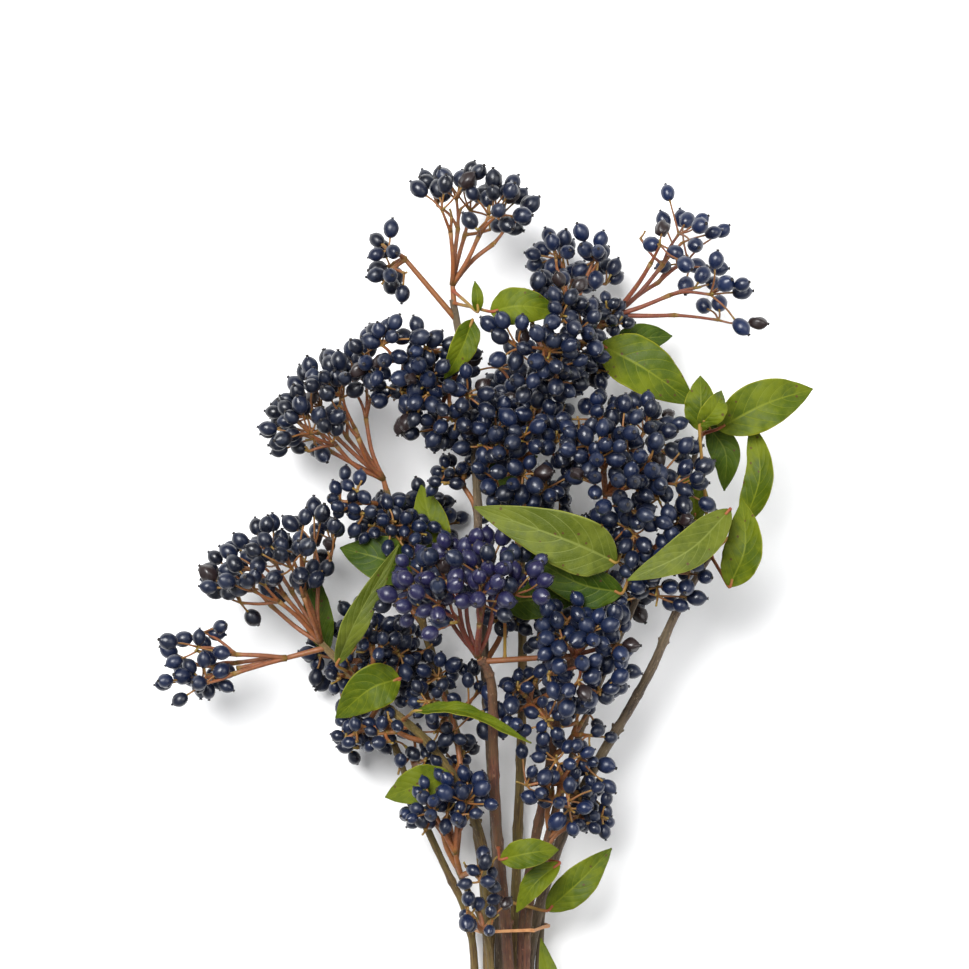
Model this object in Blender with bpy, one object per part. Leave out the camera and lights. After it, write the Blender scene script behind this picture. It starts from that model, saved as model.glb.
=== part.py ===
"""Laurustinus berry bunch: cut woody stems with heads of blue-black berries and green leaves.

The bunch lies on its back on the plane z = 0. X is across it, +Y runs from the cut ends to the
berries and +Z is up. All sizes below are in millimetres and are turned into metres on the way out.
"""

import math
import random

import bmesh
import bpy
import numpy as np
from mathutils import Matrix, Vector

mm = 0.001
goldenTurn = math.pi * (3 - math.sqrt(5))

# Driving sizes, in millimetres
gap = 0.45                # clear space kept between separate pieces
berryRadius = 3.25        # half the width of a ripe berry
berrySizes = (0.88, 1.1)  # smallest and largest berry, for the ripe one
berryLong = 1.2           # berry length over its width
berryFacet = 1.06         # a faceted berry is this much larger than the round one it stands for
berryShare = 0.27         # share of a head's berries that the solids carry
perFork = 8               # berries of a full head for each of its forks
bladeThick = 0.75         # leaf blade
petioleHalf = 0.75        # half the width of a leaf's stalk
stalkHalf = 0.95          # half width of a head's stalk, slimmer than the tip of any stem
stalkRoom = 1.1           # half width kept clear for it
rayHalf = (0.85, 0.7)     # half width of a head's main rays, at hub and at tip
forkHalf = 0.6
pedicelHalf = 0.5
longestPedicel = 20
bandHalf = 0.7            # half the thickness of the band round the stems
bandAlong = 13            # where the band sits along the stems
lowestRay = 4.0           # the rays' tips stay this far above the table
lowestFork = 3.0
lowestLeaf = 0.8
stemSpace = 1.6           # clear space between stems

# Shares of a head's reach and spread at which its parts end
rayReach = (0.4, 0.5)
raySpread = 0.8
forkReach = 0.72
forkSpread = 0.92
berryReach = (0.76, 1.02)
deepestRoot = 0.985       # a stalk at a stem's tip starts this far along it, well inside

tableOrigin = Vector((0.05, 124.83, 0.28))  # the point of the layout below that becomes the origin

# Each stem runs from its cut end to its tip; thick is its half width at both ends
stems = {
    "stem_top": {"thick": (2.5, 1.5), "path": [
        (7, -66, 9), (6, 20, 14), (2, 90, 30), (-3, 170, 44), (-4, 215, 50), (-13, 268, 52)]},
    "stem_upper_left": {"thick": (2.2, 1.3), "path": [
        (1, -60, 7), (1, 20, 10), (-8, 80, 20), (-24, 132, 30), (-36, 178, 38), (-40, 192, 40)]},
    "stem_left": {"thick": (2.4, 1.5), "path": [
        (-1, -70, 15), (2, 20, 20), (-4, 60, 34), (-24, 92, 46), (-42, 106, 50), (-66, 130, 46)]},
    "stem_centre": {"thick": (2.6, 1.8), "path": [
        (10, -72, 17), (10, 0, 24), (5, 48, 42), (3, 90, 60), (3, 116, 72), (-2, 125, 76)]},
    "stem_right": {"thick": (2.5, 1.7), "path": [
        (16, -68, 8), (17, 0, 14), (30, 48, 28), (46, 84, 40), (66, 116, 46), (76, 142, 48), (90, 166, 54)]},
    "stem_middle": {"thick": (2.3, 1.4), "path": [
        (15, -58, 15), (16, 20, 20), (24, 68, 34), (31, 108, 44), (42, 150, 54), (48, 186, 60)]},
    "stem_upper_right": {"thick": (2.2, 1.4), "path": [
        (11, -64, 4), (12, 20, 6), (16, 108, 22), (14, 180, 36),
        (16, 220, 42), (34, 246, 42), (48, 258, 42)]},
    "stem_leafy_right": {"thick": (1.7, 1.1), "path": [
        (20, -56, 14), (22, 20, 12), (34, 80, 18), (54, 130, 24), (76, 180, 38), (87, 214, 48)]},
    "stem_far_left": {"thick": (1.8, 1.2), "path": [
        (-5, -62, 10), (-4, 6, 14), (-14, 32, 18), (-30, 68, 22), (-40, 98, 26), (-44, 112, 28)]},
    "stem_low_left": {"thick": (1.6, 1.2), "path": [
        (4, -50, 22), (3, -10, 28), (0, 14, 34), (-8, 32, 42), (-12, 42, 46)]},
    "stem_low_right": {"thick": (1.7, 1.2), "path": [
        (17, -54, 21), (17, 10, 28), (22, 40, 40), (30, 70, 48)]},
}

# Each head grows from a stem at the share "at" of its length: hub is where its rays part, aim is
# the way it faces, reach and spread its radius and half angle, and count its berries when full
heads = {
    "top": {"stem": "stem_top", "at": 1.0, "hub": (-13, 274, 53), "aim": (0.28, 1.0, 0.10),
            "reach": 47, "spread": 40, "rays": 5, "count": 34},
    "top_left": {"stem": "stem_top", "at": 0.97, "hub": (-32, 284, 56), "aim": (-0.8, -0.2, 0.2),
                 "reach": 15, "spread": 80, "rays": 3, "count": 9},
    "upper_left_inner": {"stem": "stem_top", "at": 0.93, "hub": (-32, 244, 66), "aim": (-0.1, -0.5, 0.8),
                         "reach": 21, "spread": 95, "rays": 5, "count": 26},
    "mid_left": {"stem": "stem_top", "at": 0.88, "hub": (-14, 232, 62), "aim": (-0.3, -0.7, 0.8),
                 "reach": 24, "spread": 70, "rays": 5, "count": 26},
    "upper_left_outer": {"stem": "stem_upper_left", "at": 1.0, "hub": (-41, 196, 41),
                         "aim": (-0.6, 0.72, 0.15), "reach": 54, "spread": 38, "rays": 7, "count": 48},
    "under_left": {"stem": "stem_upper_left", "at": 0.85, "hub": (-26, 168, 21), "aim": (-0.3, 0.5, -0.8),
                   "reach": 26, "spread": 75, "rays": 5, "count": 24},
    "left_up": {"stem": "stem_left", "at": 0.98, "hub": (-66, 130, 46), "aim": (-0.46, 0.85, 0.1),
                "reach": 54, "spread": 42, "rays": 7, "count": 46},
    "left_out": {"stem": "stem_left", "at": 1.0, "hub": (-80, 124, 46), "aim": (-1.0, -0.08, 0.05),
                 "reach": 50, "spread": 25, "rays": 4, "count": 20},
    "under_far_left": {"stem": "stem_left", "at": 0.9, "hub": (-50, 122, 22), "aim": (-0.25, 0.2, -0.9),
                       "reach": 25, "spread": 75, "rays": 4, "count": 20},
    "centre_front": {"stem": "stem_centre", "at": 1.0, "hub": (-3, 126, 77), "aim": (-0.16, 0.95, 0.3),
                     "reach": 48, "spread": 47, "rays": 8, "count": 54},
    "centre_right": {"stem": "stem_centre", "at": 0.97, "hub": (35, 126, 72), "aim": (0.45, 0.1, 0.7),
                     "reach": 25, "spread": 88, "rays": 6, "count": 34},
    "right_big": {"stem": "stem_middle", "at": 1.0, "hub": (48, 190, 61), "aim": (0.42, 0.62, 0.6),
                  "reach": 41, "spread": 62, "rays": 8, "count": 60},
    "right_front": {"stem": "stem_middle", "at": 0.95, "hub": (67, 168, 64), "aim": (0.0, -0.1, 1.0),
                    "reach": 27, "spread": 80, "rays": 5, "count": 26},
    "low_centre": {"stem": "stem_middle", "at": 0.62, "hub": (18, 106, 52), "aim": (0.1, 0.3, 0.7),
                   "reach": 19, "spread": 100, "rays": 4, "count": 18},
    "under_right": {"stem": "stem_middle", "at": 0.85, "hub": (40, 156, 24), "aim": (0.3, 0.1, -0.9),
                    "reach": 29, "spread": 75, "rays": 5, "count": 26},
    "right_top": {"stem": "stem_upper_right", "at": 1.0, "hub": (52, 262, 43), "aim": (0.8, 0.55, 0.05),
                  "reach": 58, "spread": 46, "rays": 5, "count": 24},
    "back_top": {"stem": "stem_upper_right", "at": 0.93, "hub": (34, 262, 36), "aim": (0.12, 0.9, -0.25),
                 "reach": 34, "spread": 44, "rays": 4, "count": 22},
    "mid_top": {"stem": "stem_upper_right", "at": 0.9, "hub": (20, 252, 68), "aim": (0.6, 0.05, 0.8),
                "reach": 27, "spread": 82, "rays": 6, "count": 40},
    "centre_mid": {"stem": "stem_upper_right", "at": 0.75, "hub": (14, 204, 60), "aim": (0.25, 0.1, 0.9),
                   "reach": 25, "spread": 88, "rays": 6, "count": 36},
    "under_top": {"stem": "stem_upper_right", "at": 0.83, "hub": (16, 226, 22), "aim": (0.0, 0.3, -0.9),
                  "reach": 27, "spread": 75, "rays": 5, "count": 22},
    "inner_left": {"stem": "stem_far_left", "at": 1.0, "hub": (-42, 124, 34), "aim": (-0.1, 0.6, 0.5),
                   "reach": 17, "spread": 100, "rays": 4, "count": 18},
    "hang_left": {"stem": "stem_far_left", "at": 0.9, "hub": (-48, 96, 22), "aim": (-0.3, -0.3, 0.1),
                  "reach": 13, "spread": 80, "rays": 3, "count": 7},
    "inner_mid": {"stem": "stem_low_left", "at": 1.0, "hub": (-14, 104, 40), "aim": (-0.1, 0.3, 0.6),
                  "reach": 20, "spread": 100, "rays": 4, "count": 20},
    "low_left": {"stem": "stem_low_left", "at": 0.85, "hub": (-12, 46, 50), "aim": (-0.14, 0.95, 0.1),
                 "reach": 32, "spread": 40, "rays": 6, "count": 30},
    "base": {"stem": "stem_low_left", "at": 0.55, "hub": (-1, 14, 44), "aim": (-0.1, 0.8, 0.5),
             "reach": 17, "spread": 65, "rays": 3, "count": 8},
    "low_right": {"stem": "stem_low_right", "at": 1.0, "hub": (30, 74, 50), "aim": (0.2, 0.2, 0.5),
                  "reach": 20, "spread": 100, "rays": 5, "count": 18},
    "low_right_out": {"stem": "stem_low_right", "at": 0.8, "hub": (36, 58, 38), "aim": (0.8, 0.6, 0.0),
                      "reach": 17, "spread": 60, "rays": 3, "count": 8},
}

# Each leaf runs from its base over its middle to its tip; half is its greatest half width, face the
# way its upper side looks, wave how far its edge rises and falls, and fold how far its halves rise
leaves = {
    "leaf_centre_light": {"line": [(52, 163, 80), (32, 172, 86), (-4, 185, 80)], "half": 11.5,
                          "face": (0.1, -0.2, 1), "wave": 0.8, "fold": 0.15},
    "leaf_centre_dark": {"line": [(54, 153, 76), (36, 157, 79), (12, 170, 73)], "half": 8.5,
                         "face": (0, -0.3, 1), "wave": 0.8, "fold": 0.2},
    "leaf_right_light": {"line": [(97, 184, 76), (80, 168, 90), (56, 156, 88)], "half": 7.5,
                         "face": (0.2, 0.3, 1), "wave": 0.9, "fold": 0.15},
    "leaf_far_right": {"line": [(93, 216, 56), (112, 226, 60), (131, 232, 54)], "half": 10,
                       "face": (0.1, 0.1, 1), "wave": 0.6, "fold": 0.25},
    "leaf_right_wavy": {"line": [(104, 178, 50), (110, 198, 56), (107, 219, 50)], "half": 6.2,
                        "face": (-0.3, 0, 1), "wave": 1.3, "fold": 0.2},
    "leaf_right_short": {"line": [(88, 217, 50), (95, 206, 54), (95, 191, 48)], "half": 6.2,
                         "face": (-0.2, 0, 1), "wave": 0.8, "fold": 0.2},
    "leaf_right_low": {"line": [(97, 158, 56), (103, 174, 60), (102, 193, 54)], "half": 8,
                       "face": (-0.3, 0, 1), "wave": 0.8, "fold": 0.3},
    "leaf_top_right": {"line": [(46, 250, 52), (64, 240, 56), (84, 226, 50)], "half": 11,
                       "face": (0, 0.2, 1), "wave": 0.8, "fold": 0.2},
    "leaf_top_right_back": {"line": [(50, 244, 36), (62, 252, 38), (76, 254, 34)], "half": 7,
                            "face": (0, 0, 1), "wave": 0.5, "fold": 0.2},
    "leaf_right_young": {"line": [(86, 215, 60), (86, 226, 64), (86, 237, 60)], "half": 6.5,
                         "face": (-0.3, 0, 1), "wave": 0.4, "fold": 0.3},
    "leaf_right_round": {"line": [(92, 213, 64), (98, 220, 68), (102, 228, 63)], "half": 5,
                         "face": (0.3, 0, 1), "wave": 0.4, "fold": 0.2},
    "leaf_top": {"line": [(2, 262, 80), (14, 264, 84), (30, 262, 78)], "half": 7.5,
                 "face": (0, 0.1, 1), "wave": 0.5, "fold": 0.15},
    "leaf_top_stalk": {"line": [(-5, 259, 74), (-9, 248, 78), (-16, 236, 72)], "half": 5.5,
                       "face": (0.3, 0, 1), "wave": 0.5, "fold": 0.3},
    "leaf_top_tiny": {"line": [(-3, 262, 76), (-3, 268, 79), (-4, 274, 76)], "half": 2.4,
                      "face": (0, 0, 1), "wave": 0.2, "fold": 0.3},
    "leaf_left_light": {"line": [(-59, 122, 66), (-50, 142, 76), (-34, 170, 70)], "half": 5.2,
                        "face": (0.4, 0, 1), "wave": 0.6, "fold": 0.2},
    "leaf_left_back": {"line": [(-30, 158, 44), (-42, 164, 50), (-58, 168, 44)], "half": 9.5,
                       "face": (0, 0.2, 1), "wave": 0.7, "fold": 0.2},
    "leaf_left_low": {"line": [(-34, 116, 50), (-46, 112, 56), (-60, 100, 48)], "half": 9,
                      "face": (0.1, 0, 1), "wave": 0.8, "fold": 0.2},
    "leaf_left_under": {"line": [(-64, 126, 34), (-68, 142, 36), (-68, 158, 32)], "half": 6,
                        "face": (0.2, 0, 1), "wave": 0.5, "fold": 0.2},
    "leaf_front": {"line": [(-28, 104, 70), (-8, 104, 80), (18, 91, 74)], "half": 4.4,
                   "face": (0, 0.9, 0.6), "wave": 0.5, "fold": 0.3},
    "leaf_low_left": {"line": [(-12, 78, 44), (-26, 74, 48), (-40, 69, 42)], "half": 7.5,
                      "face": (0, 0.2, 1), "wave": 0.7, "fold": 0.2},
    "leaf_low_front": {"line": [(6, 44, 58), (18, 47, 62), (30, 48, 56)], "half": 6,
                       "face": (0, 0.2, 1), "wave": 0.8, "fold": 0.2},
    "leaf_low_fold": {"line": [(30, 42, 50), (20, 34, 54), (12, 22, 50)], "half": 5,
                      "face": (-0.3, 0.2, 1), "wave": 0.5, "fold": 0.3},
    "leaf_low_right": {"line": [(24, 23, 34), (37, 35, 38), (50, 48, 32)], "half": 7,
                       "face": (0.1, 0, 1), "wave": 0.6, "fold": 0.25},
    "leaf_lowest": {"line": [(26, -32, 22), (27, -14, 26), (23, 9, 22)], "half": 5.5,
                    "face": (0.2, 0, 1), "wave": 0.4, "fold": 0.2},
    "leaf_middle_dark": {"line": [(8, 146, 60), (20, 148, 64), (38, 148, 60)], "half": 8,
                         "face": (0, 0.1, 1), "wave": 0.6, "fold": 0.15},
    "leaf_middle_back": {"line": [(-6, 200, 36), (6, 202, 38), (20, 206, 34)], "half": 8,
                         "face": (0, 0, 1), "wave": 0.6, "fold": 0.2},
    "leaf_middle_left": {"line": [(-20, 164, 34), (-22, 178, 38), (-26, 194, 34)], "half": 7.5,
                         "face": (0, 0, 1), "wave": 0.7, "fold": 0.2},
    "leaf_right_mid": {"line": [(84, 178, 44), (83, 188, 46), (80, 200, 42)], "half": 6,
                       "face": (0, 0, 1), "wave": 0.5, "fold": 0.2},
}
bladeStations = 7         # places along a blade where its outline is set
stalkStations = 2
tubePlaces = 11           # points along a stem's tube
finePerTube = 8           # finer places between them, at which the stems are spaced
stemSweeps = 90           # rounds of pushing the stems apart
pushShare = 0.3
easeShare = 0.15          # how much each round smooths a stem
stalkTries, rayTries, leafTries, berryTries = 40, 12, 90, 14
leafFeet = 6              # the nearest places on stems that a leaf tries
leafStep = 1.4            # distance between the points that stand for a leaf


def smoothPath(points, count):
    """Read a Catmull-Rom curve through the points at count even places."""
    knots = [Vector(p) for p in points]
    ends = [knots[0] * 2 - knots[1]] + knots + [knots[-1] * 2 - knots[-2]]
    spans = len(knots) - 1
    found = []
    for step in range(count):
        place = step / (count - 1) * spans
        span = min(int(place), spans - 1)
        t = place - span
        a, b, c, d = ends[span:span + 4]
        found.append(0.5 * (2 * b + (c - a) * t + (2 * a - 5 * b + 4 * c - d) * t * t
                            + (3 * b - a - 3 * c + d) * t ** 3))
    return found


def fan(index, count, spread):
    """Give even direction number index of count within a cone of half angle spread, round +Z."""
    up = 1 - (1 - math.cos(math.radians(spread))) * (index + 0.5) / count
    flat = math.sqrt(max(0.0, 1 - up * up))
    turn = index * goldenTurn
    return Vector((flat * math.cos(turn), flat * math.sin(turn), up))


def turnTo(direction):
    """Give the rotation that takes +Z to a direction."""
    return direction.normalized().to_track_quat("Z", "Y").to_matrix()


class Room:
    """Space already taken, as rods with round ends, each with the name of its owner."""

    def __init__(self):
        self.starts = np.zeros((0, 3))
        self.runs = np.zeros((0, 3))
        self.radii = np.zeros(0)
        self.owners = np.zeros(0, dtype=int)
        self.names = []

    def ownerNumber(self, owner):
        if owner not in self.names:
            self.names.append(owner)
        return self.names.index(owner)

    def take(self, rods, owner):
        number = self.ownerNumber(owner)
        self.starts = np.vstack([self.starts, [tuple(a) for a, b, r in rods]])
        self.runs = np.vstack([self.runs, [tuple(b - a) for a, b, r in rods]])
        self.radii = np.append(self.radii, [r for a, b, r in rods])
        self.owners = np.append(self.owners, [number] * len(rods))

    def free(self, points, radius, owner, kept=gap):
        """Say whether balls of this radius stay clear of all that other owners hold."""
        others = self.owners != self.ownerNumber(owner)
        if not others.any():
            return True
        starts, runs = self.starts[others], self.runs[others]
        lengths = np.maximum((runs ** 2).sum(1), 1e-9)
        for point in points:
            away = np.array(tuple(point)) - starts
            along = np.clip((away * runs).sum(1) / lengths, 0, 1)
            distance = np.linalg.norm(away - runs * along[:, None], axis=1)
            if (distance - self.radii[others]).min() < radius + kept:
                return False
        return True


def beads(start, end, step=1.2):
    count = max(2, int((end - start).length / step) + 1)
    return [start.lerp(end, i / (count - 1)) for i in range(count)]


def spaceStems():
    """Bend the stems clear of one another, as they lie in the hand."""
    names = list(stems)
    fine = tubePlaces * finePerTube - finePerTube + 1
    paths = [np.array([tuple(p) for p in smoothPath(stems[name]["path"], fine)]) for name in names]
    halves = [np.linspace(*stems[name]["thick"], fine) for name in names]
    for sweep in range(stemSweeps):
        for one in range(len(names)):
            for two in range(one + 1, len(names)):
                between = paths[one][:, None] - paths[two][None]
                distance = np.maximum(np.linalg.norm(between, axis=2), 1e-6)
                need = halves[one][:, None] + halves[two][None] + stemSpace
                short = np.maximum(need - distance, 0)[:, :, None] * between / distance[:, :, None]
                touching = np.maximum((need > distance).sum(1), 1)[:, None]
                touched = np.maximum((need > distance).sum(0), 1)[:, None]
                paths[one] += pushShare * short.sum(1) / touching
                paths[two] -= pushShare * short.sum(0) / touched
        for path, half in zip(paths, halves):
            path[1:-1] += easeShare * (path[:-2] + path[2:] - 2 * path[1:-1])
            path[:, 2] = np.maximum(path[:, 2], half * 1.02)
    return {name: [(Vector(p), h) for p, h in zip(path[::finePerTube], half[::finePerTube])]
            for name, path, half in zip(names, paths, halves)}


def alongStem(path, share):
    place = share * (len(path) - 1)
    low = min(int(place), len(path) - 2)
    return path[low][0].lerp(path[low + 1][0], place - low)


def headFrame(head):
    return Vector(head["hub"]), turnTo(Vector(head["aim"]))


def bandLoop(stemPaths):
    """Give the closed loop of a band drawn tight round all the stems, seen along them."""
    corners = []
    octagon = math.pi / 4
    for path in stemPaths.values():
        for (a, wide), (b, _) in zip(path, path[1:]):
            if a.y <= bandAlong < b.y:
                middle = a.lerp(b, (bandAlong - a.y) / (b.y - a.y))
                out = (wide * 1.15 + gap + bandHalf) / math.cos(octagon / 2)
                corners += [(middle.x + out * math.cos(k * octagon), middle.z + out * math.sin(k * octagon))
                            for k in range(8)]
    corners = sorted(corners)

    def chain(points):
        kept = []
        for p in points:
            while len(kept) > 1 and ((kept[-1][0] - kept[-2][0]) * (p[1] - kept[-2][1])
                                     <= (kept[-1][1] - kept[-2][1]) * (p[0] - kept[-2][0])):
                kept.pop()
            kept.append(p)
        return kept[:-1]

    return [Vector((x, bandAlong, z)) for x, z in chain(corners) + chain(corners[::-1])]


def sway(draw, size):
    """Draw a small random offset."""
    return Vector([draw.uniform(-size, size) for _ in range(3)])


def planRays(room, plan, stemPaths):
    """Grow each head's stalk and main rays, wherever they pass clear of the other stems."""
    for number, (name, head) in enumerate(heads.items()):
        owner = head["stem"]
        draw = random.Random(number)
        hub, turn = headFrame(head)
        root = alongStem(stemPaths[owner], min(head["at"], deepestRoot))
        for attempt in range(stalkTries):
            middle = root.lerp(hub, 0.5) + sway(draw, attempt * 0.5)
            stalk = smoothPath([root, middle, hub], 5)
            run = [bead for a, b in zip(stalk, stalk[1:]) for bead in beads(a, b)]
            if room.free(run, stalkRoom, owner):
                break
        else:
            continue
        room.take([(a, b, stalkRoom) for a, b in zip(stalk, stalk[1:])], owner)
        grown = {"owner": owner, "hub": hub, "turn": turn, "stalk": stalk, "rays": [], "forks": {}}
        for i in range(head["rays"]):
            for attempt in range(rayTries):
                way = fan(i, head["rays"], head["spread"] * raySpread) + sway(draw, attempt * 0.1)
                tip = hub + turn @ way.normalized() * head["reach"] * draw.uniform(*rayReach)
                tip.z = max(tip.z, lowestRay)
                if room.free(beads(hub, tip), rayHalf[0], owner):
                    room.take([(hub, tip, rayHalf[0])], owner)
                    grown["rays"].append(tip)
                    break
        if grown["rays"]:
            plan["heads"][name] = grown


def bladeRow(leaf, spine, i):
    """Give the left edge, rib and right edge of a blade at station i, with its normal."""
    last = len(spine) - 1
    ahead = (spine[min(i + 1, last)] - spine[max(i - 1, 0)]).normalized()
    face = Vector(leaf["face"]).normalized()
    across = ahead.cross(face).normalized()
    normal = across.cross(ahead).normalized()
    share = (i - stalkStations) / (last - stalkStations)
    if share <= 0:
        half = petioleHalf
    else:
        half = max(petioleHalf * 0.8, leaf["half"] * math.sin(math.pi * share ** 0.8) ** 0.85)
    bend = leaf["fold"] * half
    wave = leaf["wave"] * math.sin(share * 9.5) * half / leaf["half"]
    left = spine[i] - across * half + normal * (bend + wave)
    right = spine[i] + across * half + normal * (bend - wave)
    return left, spine[i].copy(), right, normal


def leafRows(leaf, root, shift):
    """Give the rows of a whole leaf, from the stem that carries it to its tip."""
    base, middle, tip = (Vector(p) + shift for p in leaf["line"])
    blade = smoothPath([base, middle, tip], bladeStations)
    stalk = smoothPath([root, root.lerp(base, 0.5) + Vector((0, 0, 0.8)), base], stalkStations + 1)
    spine = stalk[:-1] + blade
    return [bladeRow(leaf, spine, i) for i in range(len(spine))]


def leafSamples(rows):
    """Cover a leaf with points, no two neighbours further apart than a leaf step."""
    found = []
    for (a0, b0, c0, _), (a1, b1, c1, _) in zip(rows, rows[1:]):
        for start0, end0, start1, end1 in ((a0, b0, a1, b1), (b0, c0, b1, c1)):
            longest = max((start1 - start0).length, (end1 - end0).length)
            widest = max((end0 - start0).length, (end1 - start1).length)
            runs = int(longest / leafStep) + 2
            wide = int(widest / leafStep) + 2
            for i in range(runs):
                near = start0.lerp(start1, i / (runs - 1))
                far = end0.lerp(end1, i / (runs - 1))
                found += [near.lerp(far, j / (wide - 1)) for j in range(wide)]
    return found


def planLeaves(room, plan, stemPaths):
    """Set each leaf on the nearest stem that its stalk reaches unhindered."""
    for number, (name, leaf) in enumerate(leaves.items()):
        draw = random.Random(500 + number)
        base = Vector(leaf["line"][0])
        feet = [(point, width) for path in stemPaths.values() for point, width in path[1:]]
        feet += [(point, stalkRoom) for grown in plan["heads"].values() for point in grown["stalk"][1:]]
        feet.sort(key=lambda foot: (foot[0] - base).length)
        for attempt in range(leafTries):
            point, width = feet[attempt % leafFeet]
            push = (attempt // leafFeet) * leafStep
            aside, up = draw.uniform(-0.4, 0.4), draw.uniform(-1, 1)
            shift = Vector((aside, draw.uniform(-0.4, 0.4), up)) * push
            toward = (base + shift - point).normalized()
            root = point + toward * (width + bladeThick + gap * 1.8)
            rows = leafRows(leaf, root, shift)
            samples = leafSamples(rows)
            lowest = min(sample.z for sample in samples)
            if lowest > lowestLeaf and room.free(samples, bladeThick, name, kept=gap * 0.7):
                room.take([(s, s, bladeThick) for s in samples], name)
                plan["leaves"][name] = rows
                break


def planBerries(room, plan):
    """Set berries evenly over each head's dome, each on a stalk from the nearest fork."""
    for number, (name, head) in enumerate(heads.items()):
        if name not in plan["heads"]:
            continue
        grown = plan["heads"][name]
        forks = max(3, head["count"] // perFork)
        for i in range(head["count"]):
            if int((i + 1) * berryShare) == int(i * berryShare):
                continue
            draw = random.Random(1000 * (number + 1) + i)
            for attempt in range(berryTries):
                way = fan(i, head["count"], head["spread"]) + sway(draw, 0.05 + 0.03 * attempt)
                way.normalize()
                size = berryRadius * draw.uniform(*berrySizes)
                centre = grown["hub"] + grown["turn"] @ way * head["reach"] * draw.uniform(*berryReach)
                fork = max(range(forks), key=lambda k: way.dot(fan(k, forks, head["spread"] * forkSpread)))
                if growBerry(room, plan, name, fork, forks, centre, size):
                    break


def rodDistance(point, start, end):
    """Give the distance from a point to a straight run."""
    run = end - start
    share = min(1.0, max(0.0, (point - start).dot(run) / max(run.length_squared, 1e-9)))
    return (start + run * share - point).length


def growBerry(room, plan, name, fork, forks, centre, size):
    """Add one berry with its stalk, and the fork it hangs on, if all of it is clear."""
    head, grown = heads[name], plan["heads"][name]
    owner = grown["owner"]
    newFork = None
    if fork in grown["forks"]:
        knot = grown["forks"][fork][1]
    else:
        aim = grown["turn"] @ fan(fork, forks, head["spread"] * forkSpread)
        knot = grown["hub"] + aim * head["reach"] * forkReach
        knot.z = max(knot.z, lowestFork)
        newFork = (min(grown["rays"], key=lambda tip: (tip - knot).length), knot)
        if not room.free(beads(*newFork), forkHalf, owner):
            return False
    steep = (centre - knot).normalized().z
    half = size * berryFacet
    centre.z = max(centre.z, half * math.sqrt(1 + (berryLong ** 2 - 1) * steep ** 2))
    stalk = centre - knot
    if stalk.length < size * 1.25 or stalk.length > longestPedicel:
        return False
    axis = stalk.normalized()
    ends = [centre + axis * size * (berryLong - 1) * way for way in (-1, 0, 1)]
    if not room.free(ends, half * 1.02, owner):
        return False
    if not room.free(beads(knot, centre - axis * size), pedicelHalf, owner):
        return False
    if any((other["centre"] - centre).length < (other["size"] + size) * 1.08 for other in plan["berries"]):
        return False
    if any((tip - centre).length < size + 2 * rayHalf[1] for tip in grown["rays"]):
        return False
    taken = [run for run in grown["forks"].values() if run[1] != knot]
    if any(rodDistance(centre, *run) < size + forkHalf * 1.5 for run in taken):
        return False
    if newFork:
        grown["forks"][fork] = newFork
        room.take([(*newFork, forkHalf)], owner)
    room.take([(ends[0], ends[2], half), (knot, centre, pedicelHalf)], owner)
    plan["berries"].append({"head": name, "knot": knot, "centre": centre, "axis": axis, "size": size})
    return True


def planBunch(room):
    """Lay out the whole bunch: stems, band, rays, leaves and berries, each clear of the last."""
    plan = {"stems": spaceStems(), "heads": {}, "leaves": {}, "berries": []}
    for name, path in plan["stems"].items():
        room.take([(a, b, max(ra, rb)) for (a, ra), (b, rb) in zip(path, path[1:])], name)
    plan["band"] = bandLoop(plan["stems"])
    room.take([(a, b, bandHalf) for a, b in zip(plan["band"], plan["band"][1:] + plan["band"][:1])], "band")
    planRays(room, plan, plan["stems"])
    planLeaves(room, plan, plan["stems"])
    planBerries(room, plan)
    return plan


def clearScene():
    for thing in list(bpy.data.objects):
        bpy.data.objects.remove(thing, do_unlink=True)


def finish(name, color, roughness):
    """Make a Principled material."""
    material = bpy.data.materials.new(name)
    material.use_nodes = True
    shader = material.node_tree.nodes["Principled BSDF"]
    shader.inputs["Base Color"].default_value = (*color, 1.0)
    shader.inputs["Roughness"].default_value = roughness
    shader.inputs["Metallic"].default_value = 0.0
    return material


def threeSides():
    """Make the three-cornered outline that the finest twigs are swept from."""
    curve = bpy.data.curves.new("three_sides", "CURVE")
    spline = curve.splines.new("POLY")
    spline.points.add(2)
    for corner, knot in enumerate(spline.points):
        turn = corner * math.tau / 3
        knot.co = (math.cos(turn) * mm, math.sin(turn) * mm, 0.0, 1.0)
    spline.use_cyclic_u = True
    outline = bpy.data.objects.new("three_sides", curve)
    bpy.context.scene.collection.objects.link(outline)
    return outline


def tubeMesh(name, path, resolution, cyclic=False, outline=None):
    """Make a tube through (point, half width) pairs, from a curve with filled caps."""
    curve = bpy.data.curves.new(name, "CURVE")
    curve.dimensions = "3D"
    curve.bevel_depth = mm
    curve.bevel_resolution = resolution
    if outline:
        curve.bevel_mode = "OBJECT"
        curve.bevel_object = outline
    curve.use_fill_caps = not cyclic
    spline = curve.splines.new("POLY")
    spline.points.add(len(path) - 1)
    for knot, (point, half) in zip(spline.points, path):
        knot.co = (*(point * mm), 1.0)
        knot.radius = half
    spline.use_cyclic_u = cyclic
    guide = bpy.data.objects.new(name + "_curve", curve)
    bpy.context.scene.collection.objects.link(guide)
    bpy.context.view_layer.update()
    mesh = bpy.data.meshes.new_from_object(guide.evaluated_get(bpy.context.evaluated_depsgraph_get()))
    bpy.data.objects.remove(guide, do_unlink=True)
    bpy.data.curves.remove(curve)
    weld = bmesh.new()
    weld.from_mesh(mesh)
    bmesh.ops.remove_doubles(weld, verts=weld.verts, dist=1e-6)
    bmesh.ops.recalc_face_normals(weld, faces=weld.faces)
    weld.to_mesh(mesh)
    weld.free()
    mesh.name = name
    return mesh


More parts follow.
